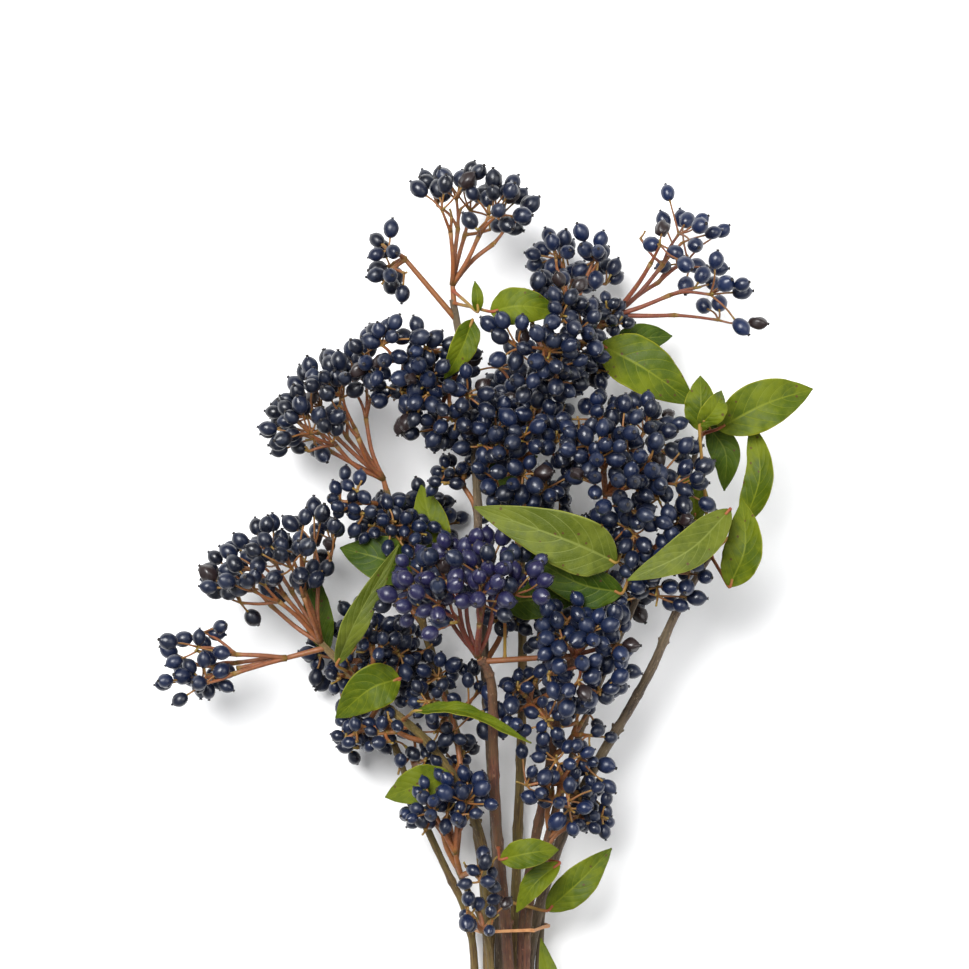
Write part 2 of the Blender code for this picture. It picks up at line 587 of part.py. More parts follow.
def meshObject(name, collection, shape, material):
    mesh = bpy.data.meshes.new(name)
    shape.to_mesh(mesh)
    shape.free()
    mesh.materials.append(material)
    collection.objects.link(bpy.data.objects.new(name, mesh))


def twigPaths(headName, plan):
    """List a head's fine twigs as bent runs: the first berry of a fork carries the run on."""
    paths = []
    grown = plan["heads"][headName]
    started = set()
    for source, knot in grown["forks"].values():
        hanging = [berry for berry in plan["berries"] if berry["knot"] is knot]
        for order, berry in enumerate(hanging):
            inside = berry["centre"] - berry["axis"] * berry["size"] * 0.5
            run = [(knot, forkHalf), (inside, pedicelHalf)]
            if order == 0:
                run.insert(0, (source, rayHalf[1]))
                if tuple(source) not in started:
                    run.insert(0, (grown["hub"], rayHalf[0]))
                    started.add(tuple(source))
            paths.append(run)
    return paths


def scrapTube(name, path, scraps, material, outline=None):
    """Add a tube that is to be fused into a stem."""
    tube = bpy.data.objects.new(name, tubeMesh(name, path, 0, outline=outline))
    tube.data.materials.append(material)
    scraps.objects.link(tube)


def buildBerry(berry, scraps, material):
    """Make one faceted berry, longer than wide, with a flat face toward its stalk."""
    fruit = bmesh.new()
    bmesh.ops.create_icosphere(fruit, subdivisions=1, radius=berry["size"] * berryFacet * mm)
    fruit.faces.ensure_lookup_table()
    flatDown = fruit.faces[0].normal.rotation_difference(Vector((0, 0, -1))).to_matrix().to_4x4()
    stretch = Matrix.Diagonal((1, 1, berryLong, 1))
    place = Matrix.Translation(berry["centre"] * mm) @ turnTo(berry["axis"]).to_4x4()
    fruit.transform(place @ stretch @ flatDown)
    meshObject("berry", scraps, fruit, material)


def keepOuterShell(mesh):
    """Make a fused piece solid: only its largest shell stays, and sealed hollows are filled."""
    shape = bmesh.new()
    shape.from_mesh(mesh)
    left = set(shape.verts)
    shells = []
    while left:
        shell = {left.pop()}
        edge = list(shell)
        while edge:
            vert = edge.pop()
            beside = {link.other_vert(vert) for link in vert.link_edges} - shell
            shell |= beside
            edge.extend(beside)
        left -= shell
        shells.append(shell)
    shells.sort(key=len)
    hollows = [vert for shell in shells[:-1] for vert in shell]
    bmesh.ops.delete(shape, geom=hollows, context="VERTS")
    shape.to_mesh(mesh)
    shape.free()


def buildSpray(name, plan, parts, scraps, twigBrown, berryBlue, outline):
    """Fuse one stem with its heads' stalks, rays, forks and berries into a single solid."""
    body = bpy.data.objects.new(name, tubeMesh(name, plan["stems"][name], 1))
    body.data.materials.append(twigBrown)
    parts.objects.link(body)
    for headName, grown in plan["heads"].items():
        if grown["owner"] != name:
            continue
        scrapTube("stalk", [(point, stalkHalf) for point in grown["stalk"][::2]], scraps, twigBrown)
        for path in twigPaths(headName, plan):
            scrapTube("twig", path, scraps, twigBrown, outline)
        for berry in plan["berries"]:
            if berry["head"] == headName:
                buildBerry(berry, scraps, berryBlue)
    if not scraps.objects:
        return
    join = body.modifiers.new("fuse", "BOOLEAN")
    join.operation = "UNION"
    join.operand_type = "COLLECTION"
    join.collection = scraps
    join.solver = "EXACT"
    join.material_mode = "TRANSFER"
    bpy.context.view_layer.update()
    fused = bpy.data.meshes.new_from_object(body.evaluated_get(bpy.context.evaluated_depsgraph_get()))
    body.modifiers.clear()
    body.data = fused
    keepOuterShell(fused)
    for scrap in list(scraps.objects):
        bpy.data.objects.remove(scrap, do_unlink=True)


def buildLeaf(name, rowsAlong, parts, material):
    """Loft a leaf's rows into one closed blade with its stalk, split alike on both faces."""
    shape = bmesh.new()
    half = bladeThick / 2
    rows = []
    for left, rib, right, normal in rowsAlong:
        upper = [shape.verts.new((p + normal * half) * mm) for p in (left, rib, right)]
        lower = [shape.verts.new((p - normal * half) * mm) for p in (left, rib, right)]
        rows.append((upper, lower))
    for (upper0, lower0), (upper1, lower1) in zip(rows, rows[1:]):
        for j in (0, 1):
            shape.faces.new((upper0[j], upper0[j + 1], upper1[j + 1]))
            shape.faces.new((upper0[j], upper1[j + 1], upper1[j]))
            shape.faces.new((lower0[j], lower1[j + 1], lower0[j + 1]))
            shape.faces.new((lower0[j], lower1[j], lower1[j + 1]))
        for j in (0, 2):
            shape.faces.new((upper0[j], upper1[j], lower1[j]))
            shape.faces.new((upper0[j], lower1[j], lower0[j]))
    for upper, lower in (rows[0], rows[-1]):
        for j in (0, 1):
            shape.faces.new((upper[j], lower[j], lower[j + 1]))
            shape.faces.new((upper[j], lower[j + 1], upper[j + 1]))
    bmesh.ops.recalc_face_normals(shape, faces=shape.faces)
    meshObject(name, parts, shape, material)


def placeOnTable(parts):
    """Move all pieces so that the origin is under the middle of the bunch, and shade them."""
    for thing in parts.objects:
        thing.data.transform(Matrix.Translation(-tableOrigin * mm))
        thing.data.shade_smooth()
        thing.data.set_sharp_from_angle(angle=math.radians(50))


def main():
    clearScene()
    parts = bpy.data.collections.new("laurustinus_bunch")
    scraps = bpy.data.collections.new("fused_pieces")
    bpy.context.scene.collection.children.link(parts)
    bpy.context.scene.collection.children.link(scraps)
    plan = planBunch(Room())
    berryBlue = finish("berry_blue_black", (0.012, 0.016, 0.035), 0.45)
    twigBrown = finish("twig_brown", (0.30, 0.12, 0.05), 0.7)
    leafGreen = finish("leaf_green", (0.13, 0.20, 0.02), 0.5)
    outline = threeSides()
    for name in stems:
        buildSpray(name, plan, parts, scraps, twigBrown, berryBlue, outline)
    for name, rows in plan["leaves"].items():
        buildLeaf(name, rows, parts, leafGreen)
    loop = [(point, bandHalf) for point in plan["band"]]
    band = bpy.data.objects.new("band", tubeMesh("band", loop, 1, cyclic=True))
    band.data.materials.append(finish("band_tan", (0.45, 0.20, 0.07), 0.6))
    parts.objects.link(band)
    placeOnTable(parts)
    bpy.data.objects.remove(outline, do_unlink=True)
    bpy.data.collections.remove(scraps)
    print("berries", len(plan["berries"]), "heads", len(plan["heads"]), "leaves", len(plan["leaves"]))
    print("leaves left out", [name for name in leaves if name not in plan["leaves"]])
    triangles = 0
    for thing in parts.objects:
        thing.data.calc_loop_triangles()
        triangles += len(thing.data.loop_triangles)
    print("triangles", triangles)


main()
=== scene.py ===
# Laurustinus berry bunch: the looks of its cut stems, berry heads, leaves and band.
# The layout and the growth below are those of the part's own source, in millimetres. The further looks
# of a piece are in the dictionary beside it, and pieces are turned into metres on the way out.

import math
import random

import bpy
import numpy as np
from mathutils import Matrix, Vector


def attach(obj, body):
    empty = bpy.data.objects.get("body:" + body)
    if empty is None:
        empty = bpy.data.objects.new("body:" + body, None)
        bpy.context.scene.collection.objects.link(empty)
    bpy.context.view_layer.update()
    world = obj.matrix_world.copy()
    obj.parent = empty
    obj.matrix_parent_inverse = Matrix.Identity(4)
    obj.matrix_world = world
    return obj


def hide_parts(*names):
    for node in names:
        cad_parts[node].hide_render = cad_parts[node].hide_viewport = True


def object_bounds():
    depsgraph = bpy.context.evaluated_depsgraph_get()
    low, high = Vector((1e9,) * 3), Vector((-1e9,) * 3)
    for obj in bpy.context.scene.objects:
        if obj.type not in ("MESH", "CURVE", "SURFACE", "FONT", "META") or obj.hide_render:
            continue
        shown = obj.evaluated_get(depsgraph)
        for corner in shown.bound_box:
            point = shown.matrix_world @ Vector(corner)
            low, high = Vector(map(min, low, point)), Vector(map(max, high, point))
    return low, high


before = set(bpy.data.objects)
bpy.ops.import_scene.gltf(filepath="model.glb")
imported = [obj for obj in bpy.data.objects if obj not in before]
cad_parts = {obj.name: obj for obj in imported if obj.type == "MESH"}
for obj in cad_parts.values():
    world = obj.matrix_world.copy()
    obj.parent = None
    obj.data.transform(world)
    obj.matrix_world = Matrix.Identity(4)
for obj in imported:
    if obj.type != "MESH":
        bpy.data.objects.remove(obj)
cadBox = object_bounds()
print("frame loaded")

mm = 0.001
goldenTurn = math.pi * (3 - math.sqrt(5))

# Driving sizes, in millimetres
gap = 0.45                # clear space kept between separate pieces
berryRadius = 3.25        # half the width of a ripe berry
berrySizes = (0.88, 1.1)  # smallest and largest berry, for the ripe one
berryLong = 1.2           # berry length over its width
berryFacet = 1.06         # a faceted berry is this much larger than the round one it stands for
berryShare = 0.27         # share of a head's berries that the solids carry
perFork = 8               # berries of a full head for each of its forks
bladeThick = 0.75         # leaf blade
petioleHalf = 0.75        # half the width of a leaf's stalk
stalkRoom = 1.1           # half width kept clear for a head's stalk
rayHalf = (0.85, 0.7)     # half width of a head's main rays, at hub and at tip
forkHalf = 0.6
pedicelHalf = 0.5
longestPedicel = 20
leastPedicel = 1.25       # the shortest, for its berry's half width
berryRoom = 1.02          # what is kept clear round a berry, for its half width
berryApart = 1.08         # how far apart two berries of the solids are, for their half widths
forkApart = 1.5
bandHalf = 0.7            # half the thickness of the band round the stems
bandAlong = 13            # where the band sits along the stems
lowestRay = 4.0           # the rays' tips stay this far above the table
lowestFork = 3.0
lowestLeaf = 0.8
stemSpace = 1.6           # clear space between stems

# Shares of a head's reach and spread at which its parts end
rayReach = (0.4, 0.5)
raySpread = 0.8
forkReach = 0.72
forkSpread = 0.92
berryReach = (0.76, 1.02)
deepestRoot = 0.985       # a stalk at a stem's tip starts this far along it, well inside

tableOrigin = Vector((0.05, 124.83, 0.28))  # the point of the layout below that becomes the origin

# Each stem runs from its cut end to its tip; thick is its half width at both ends
stems = {
    "stem_top": {"thick": (2.5, 1.5), "path": [
        (7, -66, 9), (6, 20, 14), (2, 90, 30), (-3, 170, 44), (-4, 215, 50), (-13, 268, 52)]},
    "stem_upper_left": {"thick": (2.2, 1.3), "path": [
        (1, -60, 7), (1, 20, 10), (-8, 80, 20), (-24, 132, 30), (-36, 178, 38), (-40, 192, 40)]},
    "stem_left": {"thick": (2.4, 1.5), "path": [
        (-1, -70, 15), (2, 20, 20), (-4, 60, 34), (-24, 92, 46), (-42, 106, 50), (-66, 130, 46)]},
    "stem_centre": {"thick": (2.6, 1.8), "path": [
        (10, -72, 17), (10, 0, 24), (5, 48, 42), (3, 90, 60), (3, 116, 72), (-2, 125, 76)]},
    "stem_right": {"thick": (2.5, 1.7), "path": [
        (16, -68, 8), (17, 0, 14), (30, 48, 28), (46, 84, 40), (66, 116, 46), (76, 142, 48), (90, 166, 54)]},
    "stem_middle": {"thick": (2.3, 1.4), "path": [
        (15, -58, 15), (16, 20, 20), (24, 68, 34), (31, 108, 44), (42, 150, 54), (48, 186, 60)]},
    "stem_upper_right": {"thick": (2.2, 1.4), "path": [
        (11, -64, 4), (12, 20, 6), (16, 108, 22), (14, 180, 36),
        (16, 220, 42), (34, 246, 42), (48, 258, 42)]},
    "stem_leafy_right": {"thick": (1.7, 1.1), "path": [
        (20, -56, 14), (22, 20, 12), (34, 80, 18), (54, 130, 24), (76, 180, 38), (87, 214, 48)]},
    "stem_far_left": {"thick": (1.8, 1.2), "path": [
        (-5, -62, 10), (-4, 6, 14), (-14, 32, 18), (-30, 68, 22), (-40, 98, 26), (-44, 112, 28)]},
    "stem_low_left": {"thick": (1.6, 1.2), "path": [
        (4, -50, 22), (3, -10, 28), (0, 14, 34), (-8, 32, 42), (-12, 42, 46)]},
    "stem_low_right": {"thick": (1.7, 1.2), "path": [
        (17, -54, 21), (17, 10, 28), (22, 40, 40), (30, 70, 48)]},
}

def tableOf(keys, rows):
    return {row[0]: dict(zip(keys, row[1:])) for row in rows}


# Each head grows from a stem at the share "at" of its length: hub is where its rays part, aim is
# the way it faces, reach and spread its radius and half angle, and count its berries when full
heads = tableOf(("stem", "at", "hub", "aim", "reach", "spread", "rays", "count"), [
    ("top", "stem_top", 1.0, (-13, 274, 53), (0.28, 1.0, 0.1), 47, 40, 5, 34),
    ("top_left", "stem_top", 0.97, (-32, 284, 56), (-0.8, -0.2, 0.2), 15, 80, 3, 9),
    ("upper_left_inner", "stem_top", 0.93, (-32, 244, 66), (-0.1, -0.5, 0.8), 21, 95, 5, 26),
    ("mid_left", "stem_top", 0.88, (-14, 232, 62), (-0.3, -0.7, 0.8), 24, 70, 5, 26),
    ("upper_left_outer", "stem_upper_left", 1.0, (-41, 196, 41), (-0.6, 0.72, 0.15), 54, 38, 7, 48),
    ("under_left", "stem_upper_left", 0.85, (-26, 168, 21), (-0.3, 0.5, -0.8), 26, 75, 5, 24),
    ("left_up", "stem_left", 0.98, (-66, 130, 46), (-0.46, 0.85, 0.1), 54, 42, 7, 46),
    ("left_out", "stem_left", 1.0, (-80, 124, 46), (-1.0, -0.08, 0.05), 50, 25, 4, 20),
    ("under_far_left", "stem_left", 0.9, (-50, 122, 22), (-0.25, 0.2, -0.9), 25, 75, 4, 20),
    ("centre_front", "stem_centre", 1.0, (-3, 126, 77), (-0.16, 0.95, 0.3), 48, 47, 8, 54),
    ("centre_right", "stem_centre", 0.97, (35, 126, 72), (0.45, 0.1, 0.7), 25, 88, 6, 34),
    ("right_big", "stem_middle", 1.0, (48, 190, 61), (0.42, 0.62, 0.6), 41, 62, 8, 60),
    ("right_front", "stem_middle", 0.95, (67, 168, 64), (0.0, -0.1, 1.0), 27, 80, 5, 26),
    ("low_centre", "stem_middle", 0.62, (18, 106, 52), (0.1, 0.3, 0.7), 19, 100, 4, 18),
    ("under_right", "stem_middle", 0.85, (40, 156, 24), (0.3, 0.1, -0.9), 29, 75, 5, 26),
    ("right_top", "stem_upper_right", 1.0, (52, 262, 43), (0.8, 0.55, 0.05), 58, 46, 5, 24),
    ("back_top", "stem_upper_right", 0.93, (34, 262, 36), (0.12, 0.9, -0.25), 34, 44, 4, 22),
    ("mid_top", "stem_upper_right", 0.9, (20, 252, 68), (0.6, 0.05, 0.8), 27, 82, 6, 40),
    ("centre_mid", "stem_upper_right", 0.75, (14, 204, 60), (0.25, 0.1, 0.9), 25, 88, 6, 36),
    ("under_top", "stem_upper_right", 0.83, (16, 226, 22), (0.0, 0.3, -0.9), 27, 75, 5, 22),
    ("inner_left", "stem_far_left", 1.0, (-42, 124, 34), (-0.1, 0.6, 0.5), 17, 100, 4, 18),
    ("hang_left", "stem_far_left", 0.9, (-48, 96, 22), (-0.3, -0.3, 0.1), 13, 80, 3, 7),
    ("inner_mid", "stem_low_left", 1.0, (-14, 104, 40), (-0.1, 0.3, 0.6), 20, 100, 4, 20),
    ("low_left", "stem_low_left", 0.85, (-12, 46, 50), (-0.14, 0.95, 0.1), 32, 40, 6, 30),
    ("base", "stem_low_left", 0.55, (-1, 14, 44), (-0.1, 0.8, 0.5), 17, 65, 3, 8),
    ("low_right", "stem_low_right", 1.0, (30, 74, 50), (0.2, 0.2, 0.5), 20, 100, 5, 18),
    ("low_right_out", "stem_low_right", 0.8, (36, 58, 38), (0.8, 0.6, 0.0), 17, 60, 3, 8),
])

# Each leaf runs from its base over its middle to its tip; half is its greatest half width, face the
# way its upper side looks, wave how far its edge rises and falls, and fold how far its halves rise
leaves = tableOf(("line", "half", "face", "wave", "fold"), [
    ("leaf_centre_light", [(52, 163, 80), (32, 172, 86), (-4, 185, 80)], 11.5, (0.1, -0.2, 1), 0.8, 0.15),
    ("leaf_centre_dark", [(54, 153, 76), (36, 157, 79), (12, 170, 73)], 8.5, (0, -0.3, 1), 0.8, 0.2),
    ("leaf_right_light", [(97, 184, 76), (80, 168, 90), (56, 156, 88)], 7.5, (0.2, 0.3, 1), 0.9, 0.15),
    ("leaf_far_right", [(93, 216, 56), (112, 226, 60), (131, 232, 54)], 10, (0.1, 0.1, 1), 0.6, 0.25),
    ("leaf_right_wavy", [(104, 178, 50), (110, 198, 56), (107, 219, 50)], 6.2, (-0.3, 0, 1), 1.3, 0.2),
    ("leaf_right_short", [(88, 217, 50), (95, 206, 54), (95, 191, 48)], 6.2, (-0.2, 0, 1), 0.8, 0.2),
    ("leaf_right_low", [(97, 158, 56), (103, 174, 60), (102, 193, 54)], 8, (-0.3, 0, 1), 0.8, 0.3),
    ("leaf_top_right", [(46, 250, 52), (64, 240, 56), (84, 226, 50)], 11, (0, 0.2, 1), 0.8, 0.2),
    ("leaf_top_right_back", [(50, 244, 36), (62, 252, 38), (76, 254, 34)], 7, (0, 0, 1), 0.5, 0.2),
    ("leaf_right_young", [(86, 215, 60), (86, 226, 64), (86, 237, 60)], 6.5, (-0.3, 0, 1), 0.4, 0.3),
    ("leaf_right_round", [(92, 213, 64), (98, 220, 68), (102, 228, 63)], 5, (0.3, 0, 1), 0.4, 0.2),
    ("leaf_top", [(2, 262, 80), (14, 264, 84), (30, 262, 78)], 7.5, (0, 0.1, 1), 0.5, 0.15),
    ("leaf_top_stalk", [(-5, 259, 74), (-9, 248, 78), (-16, 236, 72)], 5.5, (0.3, 0, 1), 0.5, 0.3),
    ("leaf_top_tiny", [(-3, 262, 76), (-3, 268, 79), (-4, 274, 76)], 2.4, (0, 0, 1), 0.2, 0.3),
    ("leaf_left_light", [(-59, 122, 66), (-50, 142, 76), (-34, 170, 70)], 5.2, (0.4, 0, 1), 0.6, 0.2),
    ("leaf_left_back", [(-30, 158, 44), (-42, 164, 50), (-58, 168, 44)], 9.5, (0, 0.2, 1), 0.7, 0.2),
    ("leaf_left_low", [(-34, 116, 50), (-46, 112, 56), (-60, 100, 48)], 9, (0.1, 0, 1), 0.8, 0.2),
    ("leaf_left_under", [(-64, 126, 34), (-68, 142, 36), (-68, 158, 32)], 6, (0.2, 0, 1), 0.5, 0.2),
    ("leaf_front", [(-28, 104, 70), (-8, 104, 80), (18, 91, 74)], 4.4, (0, 0.9, 0.6), 0.5, 0.3),
    ("leaf_low_left", [(-12, 78, 44), (-26, 74, 48), (-40, 69, 42)], 7.5, (0, 0.2, 1), 0.7, 0.2),
    ("leaf_low_front", [(6, 44, 58), (18, 47, 62), (30, 48, 56)], 6, (0, 0.2, 1), 0.8, 0.2),
    ("leaf_low_fold", [(30, 42, 50), (20, 34, 54), (12, 22, 50)], 5, (-0.3, 0.2, 1), 0.5, 0.3),
    ("leaf_low_right", [(24, 23, 34), (37, 35, 38), (50, 48, 32)], 7, (0.1, 0, 1), 0.6, 0.25),
    ("leaf_lowest", [(26, -32, 22), (27, -14, 26), (23, 9, 22)], 5.5, (0.2, 0, 1), 0.4, 0.2),
    ("leaf_middle_dark", [(8, 146, 60), (20, 148, 64), (38, 148, 60)], 8, (0, 0.1, 1), 0.6, 0.15),
    ("leaf_middle_back", [(-6, 200, 36), (6, 202, 38), (20, 206, 34)], 8, (0, 0, 1), 0.6, 0.2),
    ("leaf_middle_left", [(-20, 164, 34), (-22, 178, 38), (-26, 194, 34)], 7.5, (0, 0, 1), 0.7, 0.2),
    ("leaf_right_mid", [(84, 178, 44), (83, 188, 46), (80, 200, 42)], 6, (0, 0, 1), 0.5, 0.2),
])

seeds = {"leaves": 500, "berries": 1000, "fills": 9000, "twigs": 4000, "shapes": 77}
bladeStations = 7         # places along a blade where its outline is set
stalkStations = 2
tubePlaces = 11           # points along a stem's tube
finePerTube = 8           # finer places between them, at which the stems are spaced
stemSweeps = 90           # rounds of pushing the stems apart
pushShare = 0.3
easeShare = 0.15          # how much each round smooths a stem
stalkTries, rayTries, leafTries, berryTries = 40, 12, 90, 14
leafFeet = 6              # the nearest places on stems that a leaf tries
leafStep = 1.4            # distance between the points that stand for a leaf


# read a Catmull-Rom curve through the points at count even places
def smoothPath(points, count):
    knots = [Vector(p) for p in points]
    ends = [knots[0] * 2 - knots[1]] + knots + [knots[-1] * 2 - knots[-2]]
    spans = len(knots) - 1
    found = []
    for step in range(count):
        place = step / (count - 1) * spans
        span = min(int(place), spans - 1)
        t = place - span
        a, b, c, d = ends[span:span + 4]
        found.append(0.5 * (2 * b + (c - a) * t + (2 * a - 5 * b + 4 * c - d) * t * t
                            + (3 * b - a - 3 * c + d) * t ** 3))
    return found


# give even direction number index of count within a cone of half angle spread, round +Z
def fan(index, count, spread):
    up = 1 - (1 - math.cos(math.radians(spread))) * (index + 0.5) / count
    flat = math.sqrt(max(0.0, 1 - up * up))
    turn = index * goldenTurn
    return Vector((flat * math.cos(turn), flat * math.sin(turn), up))


# give the rotation that takes +Z to a direction
def turnTo(direction):
    return direction.normalized().to_track_quat("Z", "Y").to_matrix()


# space already taken, as rods with round ends, each with the name of its owner
class Room:
    def __init__(self):
        self.starts = np.zeros((0, 3))
        self.runs = np.zeros((0, 3))
        self.radii = np.zeros(0)
        self.owners = np.zeros(0, dtype=int)
        self.names = []

    def ownerNumber(self, owner):
        if owner not in self.names:
            self.names.append(owner)
        return self.names.index(owner)

    def take(self, rods, owner):
        number = self.ownerNumber(owner)
        self.starts = np.vstack([self.starts, [tuple(a) for a, b, r in rods]])
        self.runs = np.vstack([self.runs, [tuple(b - a) for a, b, r in rods]])
        self.radii = np.append(self.radii, [r for a, b, r in rods])
        self.owners = np.append(self.owners, [number] * len(rods))

    # say whether balls of this radius stay clear of all that other owners hold
    def free(self, points, radius, owner, kept=gap):
        others = self.owners != self.ownerNumber(owner)
        if not others.any():
            return True
        starts, runs = self.starts[others], self.runs[others]
        lengths = np.maximum((runs ** 2).sum(1), 1e-9)
        for point in points:
            away = np.array(tuple(point)) - starts
            along = np.clip((away * runs).sum(1) / lengths, 0, 1)
            distance = np.linalg.norm(away - runs * along[:, None], axis=1)
            if (distance - self.radii[others]).min() < radius + kept:
                return False
        return True


def beads(start, end, step=1.2):
    count = max(2, int((end - start).length / step) + 1)
    return [start.lerp(end, i / (count - 1)) for i in range(count)]


# bend the stems clear of one another, as they lie in the hand
def spaceStems():
    names = list(stems)
    fine = tubePlaces * finePerTube - finePerTube + 1
    paths = [np.array([tuple(p) for p in smoothPath(stems[name]["path"], fine)]) for name in names]
    halves = [np.linspace(*stems[name]["thick"], fine) for name in names]
    for sweep in range(stemSweeps):
        for one in range(len(names)):
            for two in range(one + 1, len(names)):
                between = paths[one][:, None] - paths[two][None]
                distance = np.maximum(np.linalg.norm(between, axis=2), 1e-6)
                need = halves[one][:, None] + halves[two][None] + stemSpace
                short = np.maximum(need - distance, 0)[:, :, None] * between / distance[:, :, None]
                touching = np.maximum((need > distance).sum(1), 1)[:, None]
                touched = np.maximum((need > distance).sum(0), 1)[:, None]
                paths[one] += pushShare * short.sum(1) / touching
                paths[two] -= pushShare * short.sum(0) / touched
        for path, half in zip(paths, halves):
            path[1:-1] += easeShare * (path[:-2] + path[2:] - 2 * path[1:-1])
            path[:, 2] = np.maximum(path[:, 2], half * 1.02)
    return {name: [(Vector(p), h) for p, h in zip(path[::finePerTube], half[::finePerTube])]
            for name, path, half in zip(names, paths, halves)}


def alongStem(path, share):
    place = share * (len(path) - 1)
    low = min(int(place), len(path) - 2)
    return path[low][0].lerp(path[low + 1][0], place - low)


# give the closed loop of a band drawn tight round all the stems, seen along them
def bandLoop(stemPaths):
    corners = []
    octagon = math.pi / 4
    for path in stemPaths.values():
        for (a, wide), (b, _) in zip(path, path[1:]):
            if a.y <= bandAlong < b.y:
                middle = a.lerp(b, (bandAlong - a.y) / (b.y - a.y))
                out = (wide * 1.15 + gap + bandHalf) / math.cos(octagon / 2)
                corners += [(middle.x + out * math.cos(k * octagon), middle.z + out * math.sin(k * octagon))
                            for k in range(8)]
    corners = sorted(corners)

    def chain(points):
        kept = []
        for p in points:
            while len(kept) > 1 and ((kept[-1][0] - kept[-2][0]) * (p[1] - kept[-2][1])
                                     <= (kept[-1][1] - kept[-2][1]) * (p[0] - kept[-2][0])):
                kept.pop()
            kept.append(p)
        return kept[:-1]

    return [Vector((x, bandAlong, z)) for x, z in chain(corners) + chain(corners[::-1])]


# draw a small random offset
def sway(draw, size):
    return Vector([draw.uniform(-size, size) for _ in range(3)])


# grow each head's stalk and main rays, wherever they pass clear of the other stems
def planRays(room, plan, stemPaths):
    for number, (name, head) in enumerate(heads.items()):
        owner = head["stem"]
        draw = random.Random(number)
        hub, turn = Vector(head["hub"]), turnTo(Vector(head["aim"]))
        root = alongStem(stemPaths[owner], min(head["at"], deepestRoot))
        for attempt in range(stalkTries):
            middle = root.lerp(hub, 0.5) + sway(draw, attempt * 0.5)
            stalk = smoothPath([root, middle, hub], 5)
            run = [bead for a, b in zip(stalk, stalk[1:]) for bead in beads(a, b)]
            if room.free(run, stalkRoom, owner):
                break
        else:
            continue
        room.take([(a, b, stalkRoom) for a, b in zip(stalk, stalk[1:])], owner)
        grown = {"owner": owner, "hub": hub, "turn": turn, "stalk": stalk, "rays": [], "forks": {}}
        for i in range(head["rays"]):
            for attempt in range(rayTries):
                way = fan(i, head["rays"], head["spread"] * raySpread) + sway(draw, attempt * 0.1)
                tip = hub + turn @ way.normalized() * head["reach"] * draw.uniform(*rayReach)
                tip.z = max(tip.z, lowestRay)
                if room.free(beads(hub, tip), rayHalf[0], owner):
                    room.take([(hub, tip, rayHalf[0])], owner)
                    grown["rays"].append(tip)
                    break
        if grown["rays"]:
            plan["heads"][name] = grown


# give the left edge, rib and right edge of a blade at station i, with its normal
def bladeRow(leaf, spine, i):
    last = len(spine) - 1
    ahead = (spine[min(i + 1, last)] - spine[max(i - 1, 0)]).normalized()
    face = Vector(leaf["face"]).normalized()
    across = ahead.cross(face).normalized()
    normal = across.cross(ahead).normalized()
    share = (i - stalkStations) / (last - stalkStations)
    if share <= 0:
        half = petioleHalf
    else:
        half = max(petioleHalf * 0.8, leaf["half"] * math.sin(math.pi * share ** 0.8) ** 0.85)
    bend = leaf["fold"] * half
    wave = leaf["wave"] * math.sin(share * 9.5) * half / leaf["half"]
    left = spine[i] - across * half + normal * (bend + wave)
    right = spine[i] + across * half + normal * (bend - wave)
    return left, spine[i].copy(), right, normal


# give the rows of a whole leaf, from the stem that carries it to its tip
def leafRows(leaf, root, shift):
    base, middle, tip = (Vector(p) + shift for p in leaf["line"])
    blade = smoothPath([base, middle, tip], bladeStations)
    stalk = smoothPath([root, root.lerp(base, 0.5) + Vector((0, 0, 0.8)), base], stalkStations + 1)
    spine = stalk[:-1] + blade
    return [bladeRow(leaf, spine, i) for i in range(len(spine))]


# cover a leaf with points, no two neighbours further apart than a leaf step
def leafSamples(rows):
    found = []
    for (a0, b0, c0, _), (a1, b1, c1, _) in zip(rows, rows[1:]):
        for start0, end0, start1, end1 in ((a0, b0, a1, b1), (b0, c0, b1, c1)):
            longest = max((start1 - start0).length, (end1 - end0).length)
            widest = max((end0 - start0).length, (end1 - start1).length)
            runs = int(longest / leafStep) + 2
            wide = int(widest / leafStep) + 2
            for i in range(runs):
                near = start0.lerp(start1, i / (runs - 1))
                far = end0.lerp(end1, i / (runs - 1))
                found += [near.lerp(far, j / (wide - 1)) for j in range(wide)]
    return found


# set each leaf on the nearest stem that its stalk reaches unhindered
def planLeaves(room, plan, stemPaths):
    for number, (name, leaf) in enumerate(leaves.items()):
        draw = random.Random(seeds["leaves"] + number)
        base = Vector(leaf["line"][0])
        feet = [(point, width) for path in stemPaths.values() for point, width in path[1:]]
        feet += [(point, stalkRoom) for grown in plan["heads"].values() for point in grown["stalk"][1:]]
        feet.sort(key=lambda foot: (foot[0] - base).length)
        for attempt in range(leafTries):
            point, width = feet[attempt % leafFeet]
            push = (attempt // leafFeet) * leafStep
            aside, up = draw.uniform(-0.4, 0.4), draw.uniform(-1, 1)
            shift = Vector((aside, draw.uniform(-0.4, 0.4), up)) * push
            toward = (base + shift - point).normalized()
            root = point + toward * (width + bladeThick + gap * 1.8)
            rows = leafRows(leaf, root, shift)
            samples = leafSamples(rows)
            lowest = min(sample.z for sample in samples)
            if lowest > lowestLeaf and room.free(samples, bladeThick, name, kept=gap * 0.7):
                room.take([(s, s, bladeThick) for s in samples], name)
                plan["leaves"][name] = {"root": root, "shift": shift, "foot": point + toward * width * 0.7}
                break


